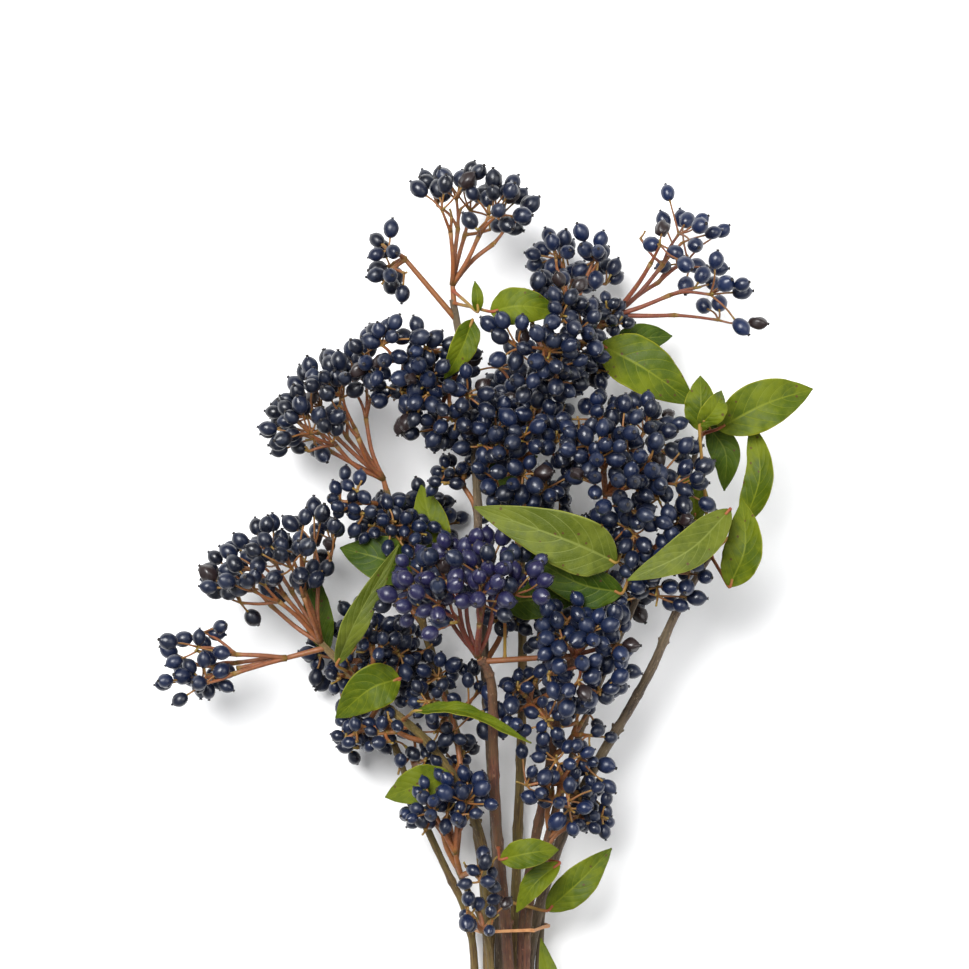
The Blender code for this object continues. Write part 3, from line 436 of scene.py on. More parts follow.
# set berries evenly over each head's dome, each on a stalk from the nearest fork
def planBerries(room, plan):
    for number, (name, head) in enumerate(heads.items()):
        if name not in plan["heads"]:
            continue
        grown = plan["heads"][name]
        forks = max(3, head["count"] // perFork)
        for i in range(head["count"]):
            if int((i + 1) * berryShare) == int(i * berryShare):
                continue
            draw = random.Random(seeds["berries"] * (number + 1) + i)
            for attempt in range(berryTries):
                way = fan(i, head["count"], head["spread"]) + sway(draw, 0.05 + 0.03 * attempt)
                way.normalize()
                size = berryRadius * draw.uniform(*berrySizes)
                centre = grown["hub"] + grown["turn"] @ way * head["reach"] * draw.uniform(*berryReach)
                fork = max(range(forks), key=lambda k: way.dot(fan(k, forks, head["spread"] * forkSpread)))
                if growBerry(room, plan, name, fork, forks, centre, size):
                    break


# give the distance from a point to a straight run
def rodDistance(point, start, end):
    run = end - start
    share = min(1.0, max(0.0, (point - start).dot(run) / max(run.length_squared, 1e-9)))
    return (start + run * share - point).length


# add one berry with its stalk, and the fork it hangs on, if all of it is clear
def growBerry(room, plan, name, fork, forks, centre, size):
    head, grown = heads[name], plan["heads"][name]
    owner = grown["owner"]
    newFork = None
    if fork in grown["forks"]:
        knot = grown["forks"][fork][1]
    else:
        aim = grown["turn"] @ fan(fork, forks, head["spread"] * forkSpread)
        knot = grown["hub"] + aim * head["reach"] * forkReach
        knot.z = max(knot.z, lowestFork)
        newFork = (min(grown["rays"], key=lambda tip: (tip - knot).length), knot)
        if not room.free(beads(*newFork), forkHalf, owner):
            return False
    steep = (centre - knot).normalized().z
    half = size * berryFacet
    centre.z = max(centre.z, half * math.sqrt(1 + (berryLong ** 2 - 1) * steep ** 2))
    stalk = centre - knot
    if stalk.length < size * leastPedicel or stalk.length > longestPedicel:
        return False
    axis = stalk.normalized()
    ends = [centre + axis * size * (berryLong - 1) * way for way in (-1, 0, 1)]
    if not room.free(ends, half * berryRoom, owner):
        return False
    if not room.free(beads(knot, centre - axis * size), pedicelHalf, owner):
        return False
    if any((other["centre"] - centre).length < (other["size"] + size) * berryApart
           for other in plan["berries"]):
        return False
    if any((tip - centre).length < size + 2 * rayHalf[1] for tip in grown["rays"]):
        return False
    taken = [run for run in grown["forks"].values() if run[1] != knot]
    if any(rodDistance(centre, *run) < size + forkHalf * forkApart for run in taken):
        return False
    if newFork:
        grown["forks"][fork] = newFork
        room.take([(*newFork, forkHalf)], owner)
    room.take([(ends[0], ends[2], half), (knot, centre, pedicelHalf)], owner)
    plan["berries"].append({"head": name, "knot": knot, "centre": centre, "axis": axis, "size": size})
    return True


# lay out the whole bunch: stems, band, rays, leaves and berries, each clear of the last
def planBunch(room):
    plan = {"stems": spaceStems(), "heads": {}, "leaves": {}, "berries": []}
    for name, path in plan["stems"].items():
        room.take([(a, b, max(ra, rb)) for (a, ra), (b, rb) in zip(path, path[1:])], name)
    plan["band"] = bandLoop(plan["stems"])
    room.take([(a, b, bandHalf) for a, b in zip(plan["band"], plan["band"][1:] + plan["band"][:1])], "band")
    planRays(room, plan, plan["stems"])
    planLeaves(room, plan, plan["stems"])
    planBerries(room, plan)
    return plan


fullHeads = {
    "more": 1.75,          # berries of a dressed head for each one that its table counts
    "inner": 0.34,         # share of them that sit inside the dome
    "innerReach": (0.46, 0.78),
    "outerReach": (0.78, 1.03),
    "sizes": (0.84, 1.08),
    "smallHeads": 0.84,    # size of the berries low in the bunch
    "tries": 9,
    "loose": 0.04,
    "twigRoom": 0.35,
    "boxOver": 1.6,        # how far a berry may pass the solids' box
    "onTable": 0.35,
    "stalkStep": 2.0,      # distance between the points at which a berry's stalk is tested
    "clear": {"berry": 0.2, "stalk": 0.1, "twig": 0.4},
    "ends": (-0.2, 0.25),  # where a berry is tested, along its axis
    "forkReach": (0.6, 0.74),
    "forkSpread": 0.95,
    "perFork": 4,
    "domeSpread": 1.02,
    "inwardCost": 4,       # how much a berry avoids forks that lie further out than it
    "fewer": {"right_top": 1.15, "top": 1.1, "top_left": 1.25, "left_out": 1.5, "upper_left_outer": 1.35,
              "left_up": 1.5, "low_left": 1.5, "base": 1.2, "low_right": 1.6, "low_right_out": 1.3,
              "hang_left": 1.3, "centre_front": 1.75, "back_top": 1.5},
    "fewInner": {"upper_left_outer": 0.12, "top": 0.15, "right_top": 0.35, "left_up": 0.35, "left_out": 0.6,
                 "centre_front": 0.3},
    "small": ("low_left", "base", "low_right", "low_right_out", "hang_left", "inner_left", "inner_mid",
              "low_centre"),
}


# says whether a berry and its stalk are clear of every other berry and of the other stems
def berryFits(room, grown, centres, sizes, centre, size, knot):
    low = cadBox[0] / mm + tableOrigin
    high = cadBox[1] / mm + tableOrigin
    over = fullHeads["boxOver"] - size * berryLong
    if any(c < a - over or c > b + over for c, a, b in zip(centre, low, high)):
        return False
    if (np.linalg.norm(centres - np.array(centre), axis=1) < sizes + size).any():
        return False
    axis = (centre - knot).normalized()
    clear = fullHeads["clear"]
    ends = [centre + axis * size * share for share in fullHeads["ends"]]
    if not room.free(ends, size * berryRoom, grown["owner"], kept=clear["berry"]):
        return False
    stalk = beads(knot, centre - axis * size, fullHeads["stalkStep"])
    if not room.free(stalk, fullHeads["twigRoom"], grown["owner"], kept=clear["stalk"]):
        return False
    return all((b - knot).length < 0.1 or rodDistance(centre, a, b) > size + clear["twig"]
               for a, b in grown["twigs"])


# finer forks, past those of the solids
def addForks(room, grown, head, draw):
    grown["twigs"] = [(grown["hub"], tip) for tip in grown["rays"]] + list(grown["forks"].values())
    grown["knots"] = [knot for source, knot in grown["forks"].values()]
    forks = max(4, head["count"] // fullHeads["perFork"])
    for fork in range(forks):
        aim = grown["turn"] @ fan(fork, forks, head["spread"] * fullHeads["forkSpread"])
        knot = grown["hub"] + aim * head["reach"] * draw.uniform(*fullHeads["forkReach"])
        knot.z = max(knot.z, lowestFork)
        source = min(grown["rays"], key=lambda tip: (tip - knot).length)
        run = beads(source, knot)
        if room.free(run, forkHalf, grown["owner"], kept=fullHeads["clear"]["stalk"]):
            grown["twigs"].append((source, knot))
            grown["knots"].append(knot)


# adds the rest of each head's berries to the ones that the solids carry
def fillHeads(room, plan):
    centres = np.array([tuple(b["centre"]) for b in plan["berries"]])
    sizes = np.array([b["size"] for b in plan["berries"]])
    for number, (name, head) in enumerate(heads.items()):
        grown = plan["heads"][name]
        draw = random.Random(seeds["fills"] + number)
        addForks(room, grown, head, draw)
        whole = int(head["count"] * fullHeads["fewer"].get(name, fullHeads["more"]))
        wanted = whole - sum(1 for b in plan["berries"] if b["head"] == name)
        innerShare = fullHeads["fewInner"].get(name, fullHeads["inner"])
        isSmall = name in fullHeads["small"] or "_spray_" in name
        scale = fullHeads["smallHeads"] if isSmall else 1.0
        placed = 0
        for i in range(whole * 2):
            if placed >= wanted:
                break
            reach = fullHeads["innerReach" if draw.random() < innerShare else "outerReach"]
            for attempt in range(fullHeads["tries"]):
                loose = fullHeads["loose"] * (attempt + 1)
                way = fan(i % whole, whole, head["spread"] * fullHeads["domeSpread"]) + sway(draw, loose)
                way = way.normalized()
                size = berryRadius * scale * draw.uniform(*fullHeads["sizes"])
                centre = grown["hub"] + grown["turn"] @ way * head["reach"] * draw.uniform(*reach)
                centre.z = max(centre.z, size * berryLong + fullHeads["onTable"])
                near = [k for k in grown["knots"]
                        if size * leastPedicel < (k - centre).length < longestPedicel]
                if not near:
                    continue
                far = (centre - grown["hub"]).length
                knot = min(near, key=lambda k: (k - centre).length + fullHeads["inwardCost"]
                           * ((k - grown["hub"]).length > far))
                if berryFits(room, grown, centres, sizes, centre, size, knot):
                    axis = (centre - knot).normalized()
                    plan["berries"].append({"head": name, "knot": knot, "centre": centre, "axis": axis,
                                            "size": size})
                    room.take([(centre, centre, size)], grown["owner"])
                    centres = np.vstack([centres, tuple(centre)])
                    sizes = np.append(sizes, size)
                    placed += 1
                    break


looseSprays = {
    "on": {"stem_top": (0.42, 0.88, 5), "stem_upper_left": (0.45, 0.92, 5), "stem_left": (0.42, 0.9, 5),
           "stem_middle": (0.45, 0.9, 6), "stem_upper_right": (0.42, 0.9, 6),
           "stem_far_left": (0.6, 0.95, 4), "stem_low_left": (0.75, 0.95, 2),
           "stem_low_right": (0.7, 0.95, 3)},
    "lowest": 38,          # how near to the cut ends a spray may sit, in the layout
    "stalk": (9, 20),
    "reach": (10, 16),
    "count": (5, 8),       # berries of a low spray and of a high one
    "high": 130,           # where the high sprays begin, in the layout
    "tries": 30,
    "forward": 0.9,        # how far a spray leans along its stem
    "lift": 0.25,
    "bend": 1.5,
    "tips": 3,
    "tipShare": 0.35,      # the share of its reach at which the tips end
    "tipSpread": 60,
    "spread": 75,
    "aboveTable": 8,
    "room": 0.9,
}


# short side twigs with a few berries, which fill the gaps between the heads
def addSprays(room, plan):
    for stem, (low, high, count) in looseSprays["on"].items():
        draw = random.Random("spray" + stem)
        path = plan["stems"][stem]
        for number in range(count):
            for attempt in range(looseSprays["tries"]):
                share = low + (high - low) * (number + draw.random()) / count
                root = alongStem(path, share)
                ahead = (alongStem(path, min(1.0, share + 0.05)) - root).normalized()
                lift = Vector((0, 0, looseSprays["lift"]))
                way = (sway(draw, 1.0) + ahead * looseSprays["forward"] + lift).normalized()
                hub = root + way * draw.uniform(*looseSprays["stalk"])
                stalk = smoothPath([root, root.lerp(hub, 0.5) + sway(draw, looseSprays["bend"]), hub], 5)
                reach = draw.uniform(*looseSprays["reach"])
                ways = [turnTo(way) @ fan(i, looseSprays["tips"], looseSprays["tipSpread"])
                        for i in range(looseSprays["tips"])]
                tips = [hub + one * reach * looseSprays["tipShare"] for one in ways]
                clear = [bead for tip in tips for bead in beads(hub, tip)] + stalk[1:]
                if hub.z < looseSprays["aboveTable"] or hub.y < looseSprays["lowest"]:
                    continue
                if not room.free(clear, looseSprays["room"], stem, kept=0.2):
                    continue
                name = stem + "_spray_" + str(number)
                fruit = looseSprays["count"][hub.y > looseSprays["high"]]
                heads[name] = {"stem": stem, "reach": reach, "spread": looseSprays["spread"], "count": fruit}
                plan["heads"][name] = {"owner": stem, "hub": hub, "turn": turnTo(way), "stalk": stalk,
                                       "rays": tips, "forks": {}}
                break


# gathers the points, faces and tints of one piece
class Shape:
    def __init__(self):
        self.points, self.tints, self.faces, self.count = [], [], [], 0

    def add(self, points, faces, tints):
        points = np.asarray(points, float).reshape(-1, 3)
        tints = np.broadcast_to(np.asarray(tints, float), (len(points), 4))
        self.faces.extend(tuple(corner + self.count for corner in face) for face in faces)
        self.points.append(points)
        self.tints.append(tints)
        self.count += len(points)

    # makes the piece, in metres and in the frame's own place, and lets it stand for its CAD node
    def piece(self, name, material, node):
        points = (np.vstack(self.points) - np.array(tableOrigin)) * mm
        mesh = bpy.data.meshes.new(name)
        mesh.from_pydata(points.tolist(), [], self.faces)
        tint = mesh.attributes.new("tint", "FLOAT_COLOR", "POINT")
        tint.data.foreach_set("color", np.vstack(self.tints).astype(np.float32).ravel())
        mesh.shade_smooth()
        mesh.materials.append(material)
        made = bpy.data.objects.new(name, mesh)
        bpy.context.scene.collection.objects.link(made)
        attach(made, "root")
        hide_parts(node)


# quads between the points of a grid; closed joins the last column to the first
def gridFaces(rows, columns, closed):
    last = columns if closed else columns - 1
    return [(i * columns + j, i * columns + (j + 1) % columns,
             (i + 1) * columns + (j + 1) % columns, (i + 1) * columns + j)
            for i in range(rows - 1) for j in range(last)]


# rings of points round a path, carried along it without twisting
def ringsAlong(path, halves, sides):
    path = np.array([tuple(p) for p in path])
    ahead = np.gradient(path, axis=0)
    ahead /= np.linalg.norm(ahead, axis=1)[:, None]
    side = np.cross(ahead[0], (0.31, 0.17, 0.93))
    turns = np.arange(sides) * math.tau / sides
    rings = []
    for point, way, half in zip(path, ahead, halves):
        side = side - way * side.dot(way)
        side /= np.linalg.norm(side)
        up = np.cross(way, side)
        rings.append(point + half * (np.cos(turns)[:, None] * side + np.sin(turns)[:, None] * up))
    return np.array(rings)


# a closed tube; tints holds one row for each point of the path
def addTube(shape, path, halves, sides, tints):
    rings = ringsAlong(path, halves, sides)
    count = len(rings)
    caps = [tuple(range(sides))[::-1], tuple(range((count - 1) * sides, count * sides))]
    shape.add(rings, gridFaces(count, sides, True) + caps, np.repeat(np.asarray(tints, float), sides, axis=0))


bark = {
    "places": 150,         # rings along a stem
    "tintLong": 400,       # the length over which the tint along a stem runs from 0 to 1
    "width": 0.97,         # between its knots, for the solid's
    "budOut": 0.6,         # where a bud starts, for the stem's half width
    "budLong": (0.7, 1.05),
    "sides": 14,
    "knotEvery": 27,       # mm between the pairs of old leaf scars
    "knotSwell": 0.2,
    "knotLong": 1.5,
    "uneven": 0.035,
    "firstKnot": (8, 20),
    "lastKnot": 6,         # the clear end of a stem, in mm
    "knotRange": (0.7, 1.35),
    "waves": (0.31, 0.9),  # how often the width rises and falls along a stem
    "lobes": 3,
    "lobeHigh": 0.045,
    "noBud": 0.25,         # share of the scars without a bud
    "budHalf": (0.42, 0.42, 0.33, 0.14),
    "budSides": 7,
    "woodInset": 0.8,      # the cut wood's share of the stem's width
}


def buildBark(name, plan, material):
    path = plan["stems"][name]
    points = smoothPath([p for p, half in path], bark["places"])
    halves = np.interp(np.linspace(0, 1, bark["places"]), np.linspace(0, 1, len(path)), [h for p, h in path])
    draw = random.Random("bark" + name)
    length = sum((b - a).length for a, b in zip(points, points[1:]))
    along = np.linspace(0, length, bark["places"])
    swell = np.zeros(bark["places"])
    knots = []
    at = draw.uniform(*bark["firstKnot"])
    while at < length - bark["lastKnot"]:
        knots.append(at)
        swell += bark["knotSwell"] * np.exp(-((along - at) / bark["knotLong"]) ** 2)
        at += bark["knotEvery"] * draw.uniform(*bark["knotRange"])
    phases = [draw.uniform(0, math.tau) for _ in range(4)]
    slow, quick = bark["waves"]
    swell += bark["uneven"] * (np.sin(along * slow + phases[0]) + 0.6 * np.sin(along * quick + phases[1]))
    rings = ringsAlong(points, halves * (bark["width"] + swell), bark["sides"])
    turns = np.arange(bark["sides"]) * math.tau / bark["sides"]
    middle = np.array([tuple(p) for p in points])[:, None]
    lobes = 1 + bark["lobeHigh"] * np.sin(bark["lobes"] * turns[None] + along[:, None] * 0.05 + phases[2])
    rings = middle + (rings - middle) * lobes[:, :, None]
    tints = np.zeros((bark["places"], bark["sides"], 4))
    tints[:, :, 0] = 0.5 + 0.5 * np.cos(turns)
    tints[:, :, 1] = 0.5 + 0.5 * np.sin(turns)
    tints[:, :, 2] = along[:, None] / bark["tintLong"]
    shape = Shape()
    shape.add(rings, gridFaces(bark["places"], bark["sides"], True), tints.reshape(-1, 4))
    for ring, centre, order in ((rings[0], middle[0], 1), (rings[-1], middle[-1], -1)):
        inset = centre + (ring - centre) * bark["woodInset"]
        cap = gridFaces(2, bark["sides"], True) + [tuple(range(bark["sides"], 2 * bark["sides"]))]
        cap = [face[::-order] for face in cap]
        shades = np.array([[0.5, 0.5, 0.0, 0.0]] * bark["sides"] + [[0.5, 0.5, 0.0, 1.0]] * bark["sides"])
        shape.add(np.vstack([ring, inset]), cap, shades)
    for at in knots:                       # a bud or the stub of a shed leaf on either side
        index = int(at / length * (bark["places"] - 1))
        out = Vector(rings[index][draw.randrange(bark["sides"])] - middle[index][0]).normalized()
        forward = (points[min(index + 1, bark["places"] - 1)] - points[index - 1]).normalized()
        for turn in (1, -1):
            if draw.random() < bark["noBud"]:
                continue
            foot = points[index] + out * turn * halves[index] * bark["budOut"]
            aim = (out * turn * 0.9 + forward * 0.7).normalized()
            tip = foot + aim * halves[index] * draw.uniform(*bark["budLong"])
            run = smoothPath([foot, tip], len(bark["budHalf"]))
            widths = [halves[index] * share for share in bark["budHalf"]]
            tint = (0.5, 0.5, at / bark["tintLong"], 0.0)
            addTube(shape, run, widths, bark["budSides"], [tint] * len(run))
    shape.piece(name + "_bark", material, name)


# half is a twig's half width at both ends, green how green its tip is, knot how far its ends swell
twigs = {
    "ray": {"half": (1.05, 0.82), "places": 8, "sides": 8, "red": 1.0, "green": 0.0, "knot": 0.3},
    "fork": {"half": (0.76, 0.54), "places": 8, "sides": 6, "red": 1.0, "green": 0.0, "knot": 0.3},
    "pedicel": {"half": (0.46, 0.38), "places": 6, "sides": 5, "red": 0.8, "green": 0.45, "knot": 0.3},
    "bare": {"half": (0.4, 0.34), "places": 5, "sides": 5, "red": 0.6, "green": 0.9, "knot": 0.5},
    "stalk": {"half": (1.25, 1.0), "places": 9, "sides": 10, "red": 0.7, "green": 0.1},
    "sway": 0.07,          # how far a twig arches, for its length
    "joint": 1.3,          # how long the swelling at a twig's end is
    "jointGreen": 0.75,
    "bareShare": 0.8,      # bare pedicels for each fork
    "bareLong": (2.5, 5.0),
    "bareSpread": 0.7,
    "redShare": 0.15,
    "wine": {"centre_front": 0.95, "right_top": 0.75, "centre_right": 0.6, "upper_left_outer": 0.35,
             "mid_left": 0.4, "left_out": 0.3},
}


# one bent twig that swells where it joins the next
def addTwig(shape, start, end, kind, red, draw):
    look = twigs[kind]
    places = look["places"]
    length = (end - start).length
    arch = sway(draw, 1) * length * twigs["sway"]
    path = smoothPath([start, start.lerp(end, 0.5) + arch, end], places)
    shares = np.linspace(0, 1, places)
    joint = (np.exp(-(shares * length / twigs["joint"]) ** 2)
             + np.exp(-((1 - shares) * length / twigs["joint"]) ** 2))
    thick, thin = look["half"]
    widths = (thick + (thin - thick) * shares) * (1 + look["knot"] * joint)
    tints = np.zeros((places, 4))
    tints[:, 0] = red * look["red"]
    tints[:, 1] = np.clip(joint * twigs["jointGreen"] + look["green"] * shares, 0, 1)
    tints[:, 2] = draw.random()
    tints[:, 3] = 1.0
    addTube(shape, path, widths, look["sides"], tints)


def buildTwigs(name, plan, material):
    shape = Shape()
    for number, (headName, grown) in enumerate(plan["heads"].items()):
        if grown["owner"] != name:
            continue
        draw = random.Random(seeds["twigs"] + number)
        red = twigs["wine"].get(headName, twigs["redShare"])
        stalk = twigs["stalk"]
        widths = np.linspace(*stalk["half"], stalk["places"])
        tint = (red * stalk["red"], stalk["green"], draw.random(), 1.0)
        addTube(shape, smoothPath(grown["stalk"], stalk["places"]), widths, stalk["sides"],
                [tint] * stalk["places"])
        for start, end in grown["twigs"]:
            addTwig(shape, start, end, "ray" if start == grown["hub"] else "fork", red, draw)
        for berry in plan["berries"]:
            if berry["head"] == headName:
                foot = berry["centre"] - berry["axis"] * berry["size"] * 1.05
                addTwig(shape, berry["knot"], foot, "pedicel", red, draw)
        for knot in grown["knots"]:
            if draw.random() < twigs["bareShare"]:
                way = ((knot - grown["hub"]).normalized() + sway(draw, twigs["bareSpread"])).normalized()
                tip = knot + way * draw.uniform(*twigs["bareLong"])
                if tip.z > 1.0:
                    addTwig(shape, knot, tip, "bare", red, draw)
    shape.piece(name + "_twigs", material, name)


berries = {
    "round": 13,
    "rings": 10,
    "blunt": 0.9,          # how blunt the end at the stalk is
    "sharp": 1.5,          # how pointed the outer end is
    "long": 1.24,
    "from": 0.04,          # where the skin starts and how far it runs, as shares of half a turn
    "run": 0.9,
    "crown": 0.15,         # half width of the dry crown at the tip
    "crownAt": 0.94,
    "crownRings": ((1.25, 0.05, 0.02), (1.45, 0.13, 0.06), (0.8, 0.09, 0.02), (0.25, 0.03, 0.0)),
    "dents": (0.018, 0.012),
    "shrivel": (0.13, 0.07, 0.12),
    "kinds": 9,            # differently dented berries
    "driedShare": 0.035,
    "violet": ("centre_front",),
    "blue": {"centre_right": 0.55, "right_top": 0.75, "low_right": 0.65, "low_right_out": 0.65,
             "low_left": 0.6, "base": 0.65, "low_centre": 0.6, "right_big": 0.35, "right_front": 0.4,
             "mid_top": 0.3, "left_out": 0.4, "left_up": 0.12, "back_top": 0.6, "upper_left_outer": 0.08,
             "top": 0.1, "top_left": 0.15},
}


# one turned berry of half width 1 along +Z: blunt at its stalk, beaked and crowned at its tip
def berryShape(draw, dried):
    rings, sides = berries["rings"], berries["round"]
    turns = np.arange(sides) * math.tau / sides
    rows, shades = [], []
    phases = [draw.uniform(0, math.tau) for _ in range(5)]
    for i in range(rings):
        a = math.pi * (berries["from"] + berries["run"] * i / (rings - 1))
        outward = (1 - math.cos(a)) / 2
        half = math.sin(a) ** (berries["blunt"] + (berries["sharp"] - berries["blunt"]) * outward)
        half = max(half, berries["crown"] * 0.9 if outward > 0.5 else 0.0)
        wide, fine = berries["dents"]
        dent = (wide * np.sin(2 * turns + phases[0]) * math.sin(a)
                + fine * np.sin(3 * turns + phases[1] + a * 2))
        if dried:
            deep, crease, thinner = berries["shrivel"]
            dent = dent + deep * np.sin(4 * turns + phases[2] + 1.4 * math.sin(a * 2)) * math.sin(a)
            dent = dent + crease * np.sin(7 * turns + phases[3] + a * 3) * math.sin(a) - thinner * math.sin(a)
        rows.append(np.stack([np.cos(turns) * (half + dent), np.sin(turns) * (half + dent),
                              np.full(sides, -berries["long"] * math.cos(a))], axis=1))
        shades.append(outward * 0.8)
    top = -berries["long"] * math.cos(math.pi * berries["crownAt"])
    for wide, up, ragged in berries["crownRings"]:
        lobes = np.sin(turns * 5 / 2 + phases[4]) ** 2
        half = berries["crown"] * wide * (1 + 0.15 * (lobes - 0.5))
        rows.append(np.stack([np.cos(turns) * half, np.sin(turns) * half, top + up + ragged * lobes], axis=1))
        shades.append(1.0)
    count = len(rows)
    faces = gridFaces(count, sides, True)
    faces += [tuple(range(sides))[::-1], tuple(range((count - 1) * sides, count * sides))]
    return np.vstack(rows), faces, np.repeat(shades, sides)


def buildBerries(name, plan, material, kinds):
    shape = Shape()
    draw = random.Random("berries" + name)
    for berry in plan["berries"]:
        if plan["heads"][berry["head"]]["owner"] != name:
            continue
        dried = draw.random() < berries["driedShare"]
        points, faces, outward = kinds[draw.randrange(berries["kinds"]) + (berries["kinds"] if dried else 0)]
        spin = draw.uniform(0, math.tau)
        turned = np.array(turnTo(berry["axis"])) @ np.array([[math.cos(spin), -math.sin(spin), 0],
                                                             [math.sin(spin), math.cos(spin), 0], [0, 0, 1]])
        size = berry["size"]
        stretch = np.array([1, 1, draw.uniform(0.96, 1.06)])
        placed = (points * stretch * size) @ turned.T + np.array(berry["centre"])
        placed[:, 2] = np.maximum(placed[:, 2], tableOrigin.z)
        tints = np.zeros((len(points), 4))
        blue = berries["blue"].get(berry["head"], 0.3)
        tints[:, 0] = min(1.0, max(0.0, blue + draw.uniform(-0.25, 0.3)))
        tints[:, 1] = outward
        tints[:, 2] = 0.5 if berry["head"] in berries["violet"] and draw.random() < 0.8 else 0.0
        if dried:
            tints[:, 2] = 1.0
        tints[:, 3] = draw.random()
        shape.add(placed, faces, tints)
    if shape.count:
        shape.piece(name + "_berries", material, name)


blades = {
    "along": 47,
    "across": 21,          # an odd number, so that one column runs along the rib
    "half": 0.25,          # half the blade's thickness at its rib
    "veins": 7.5,          # side veins along each half
    "sweep": 0.3,          # how far a side vein runs forward to the edge
    "quilt": 0.28,
    "groove": 0.3,
    "ripple": 0.62,
    "curl": 2.6,           # how far the tip bends down
    "narrow": 0.8,         # how far back the widest place sits
    "round": 0.85,
    "waves": 9.5,
    "ripples": (19, 41),
    "veinWide": 0.13,
    "edgeThin": 0.55,
    "ribWide": 0.55,
    "ribHigh": 0.55,
    "veinHigh": 0.07,
    "grooveWide": 0.8,
    "petiole": (1.15, 0.72, 0.6),
    "petiolePlaces": 22,
    "petioleSides": 9,
    "pale": ("leaf_centre_light", "leaf_right_light", "leaf_left_light"),
    "dark": ("leaf_centre_dark", "leaf_middle_dark", "leaf_left_back", "leaf_middle_back", "leaf_right_short",
             "leaf_left_under", "leaf_top_right_back"),
}


# 1 on a side vein and 0 halfway between two of them
def veinAt(share, side):
    phase = (share - blades["sweep"] * abs(side) ** 1.3) * blades["veins"] % 1.0
    near = min(phase, 1 - phase)
    return math.exp(-(near / blades["veinWide"]) ** 2)


def buildLeaf(name, grown, material):
    leaf = leaves[name]
    draw = random.Random("leaf" + name)
    base, middle, tip = (Vector(p) + grown["shift"] for p in leaf["line"])
    along, across = blades["along"], blades["across"]
    spine = smoothPath([base, middle, tip], along)
    face = Vector(leaf["face"]).normalized()
    phases = [draw.uniform(0, math.tau) for _ in range(2)]
    bend = draw.uniform(-0.5, 1.0)
    slow, quick = blades["ripples"]
    upper, lower, tints = [], [], []
    for i in range(along):
        share = i / (along - 1)
        ahead = (spine[min(i + 1, along - 1)] - spine[max(i - 1, 0)]).normalized()
        sideways = ahead.cross(face).normalized()
        normal = sideways.cross(ahead).normalized()
        broad = max(0.0, math.sin(math.pi * share ** blades["narrow"])) ** blades["round"]
        half = max(0.35, leaf["half"] * broad)
        wide = half / leaf["half"]
        wave = leaf["wave"] * math.sin(share * blades["waves"]) * wide
        for j in range(across):
            side = -1 + 2 * j / (across - 1)
            away = abs(side)
            fromRib = side * half
            rise = leaf["fold"] * half * away ** 1.25 - wave * side * away ** 0.4
            ripple = math.sin(share * slow + phases[0] + side * 1.5)
            ripple = ripple + 0.5 * math.sin(share * quick + phases[1])
            rise += blades["ripple"] * wide * away ** 2.4 * ripple * min(1.0, leaf["half"] / 8)
            inner = (1 - away ** 4) * min(1.0, wide * 1.5)
            rise += blades["quilt"] * inner * (0.4 - veinAt(share, side)) * min(1.0, away * 4)
            rise -= blades["curl"] * bend * share ** 4
            rise -= blades["groove"] * math.exp(-(fromRib / blades["grooveWide"]) ** 2) * (1 - share)
            thick = blades["half"] * (1 - blades["edgeThin"] * away ** 2)
            rib = blades["ribHigh"] * math.exp(-(fromRib / blades["ribWide"]) ** 2) * (1 - 0.8 * share)
            point = spine[i] + sideways * fromRib + normal * rise
            upper.append(tuple(point + normal * thick))
            depth = thick + rib + blades["veinHigh"] * veinAt(share, side) * inner
            lower.append(tuple(point - normal * depth))
            tints.append((0.5 + 0.5 * side, share, 0.0, 0.0))
    shape = Shape()
    sheet = gridFaces(along, across, False)
    count = along * across
    under = [tuple(corner + count for corner in face[::-1]) for face in sheet]
    edge = (list(range(across)) + [i * across + across - 1 for i in range(1, along)]
            + [(along - 1) * across + j for j in range(across - 2, -1, -1)]
            + [i * across for i in range(along - 2, 0, -1)])
    rim = [(b, a, a + count, b + count) for a, b in zip(edge, edge[1:] + edge[:1])]
    shades = np.array(tints + tints)
    shades[count:, 2] = 1.0
    shape.add(upper + lower, sheet + under + rim, shades)
    first = (spine[1] - spine[0]).normalized()
    stalk = smoothPath([grown["foot"], grown["root"], grown["root"].lerp(base, 0.5) + Vector((0, 0, 0.8)),
                        base, base + first * 3.5], blades["petiolePlaces"])
    widths = np.interp(np.linspace(0, 1, len(stalk)), [0, 0.25, 1], blades["petiole"])
    addTube(shape, stalk, widths, blades["petioleSides"], [(0.5, 0.0, 0.0, 1.0)] * len(stalk))
    shape.piece(name + "_blade", material, name)


band = {"places": 6, "sides": 12, "strands": 2, "apart": 0.62, "half": 0.42,
        "wobble": 0.15, "wobbleTurn": 0.4}


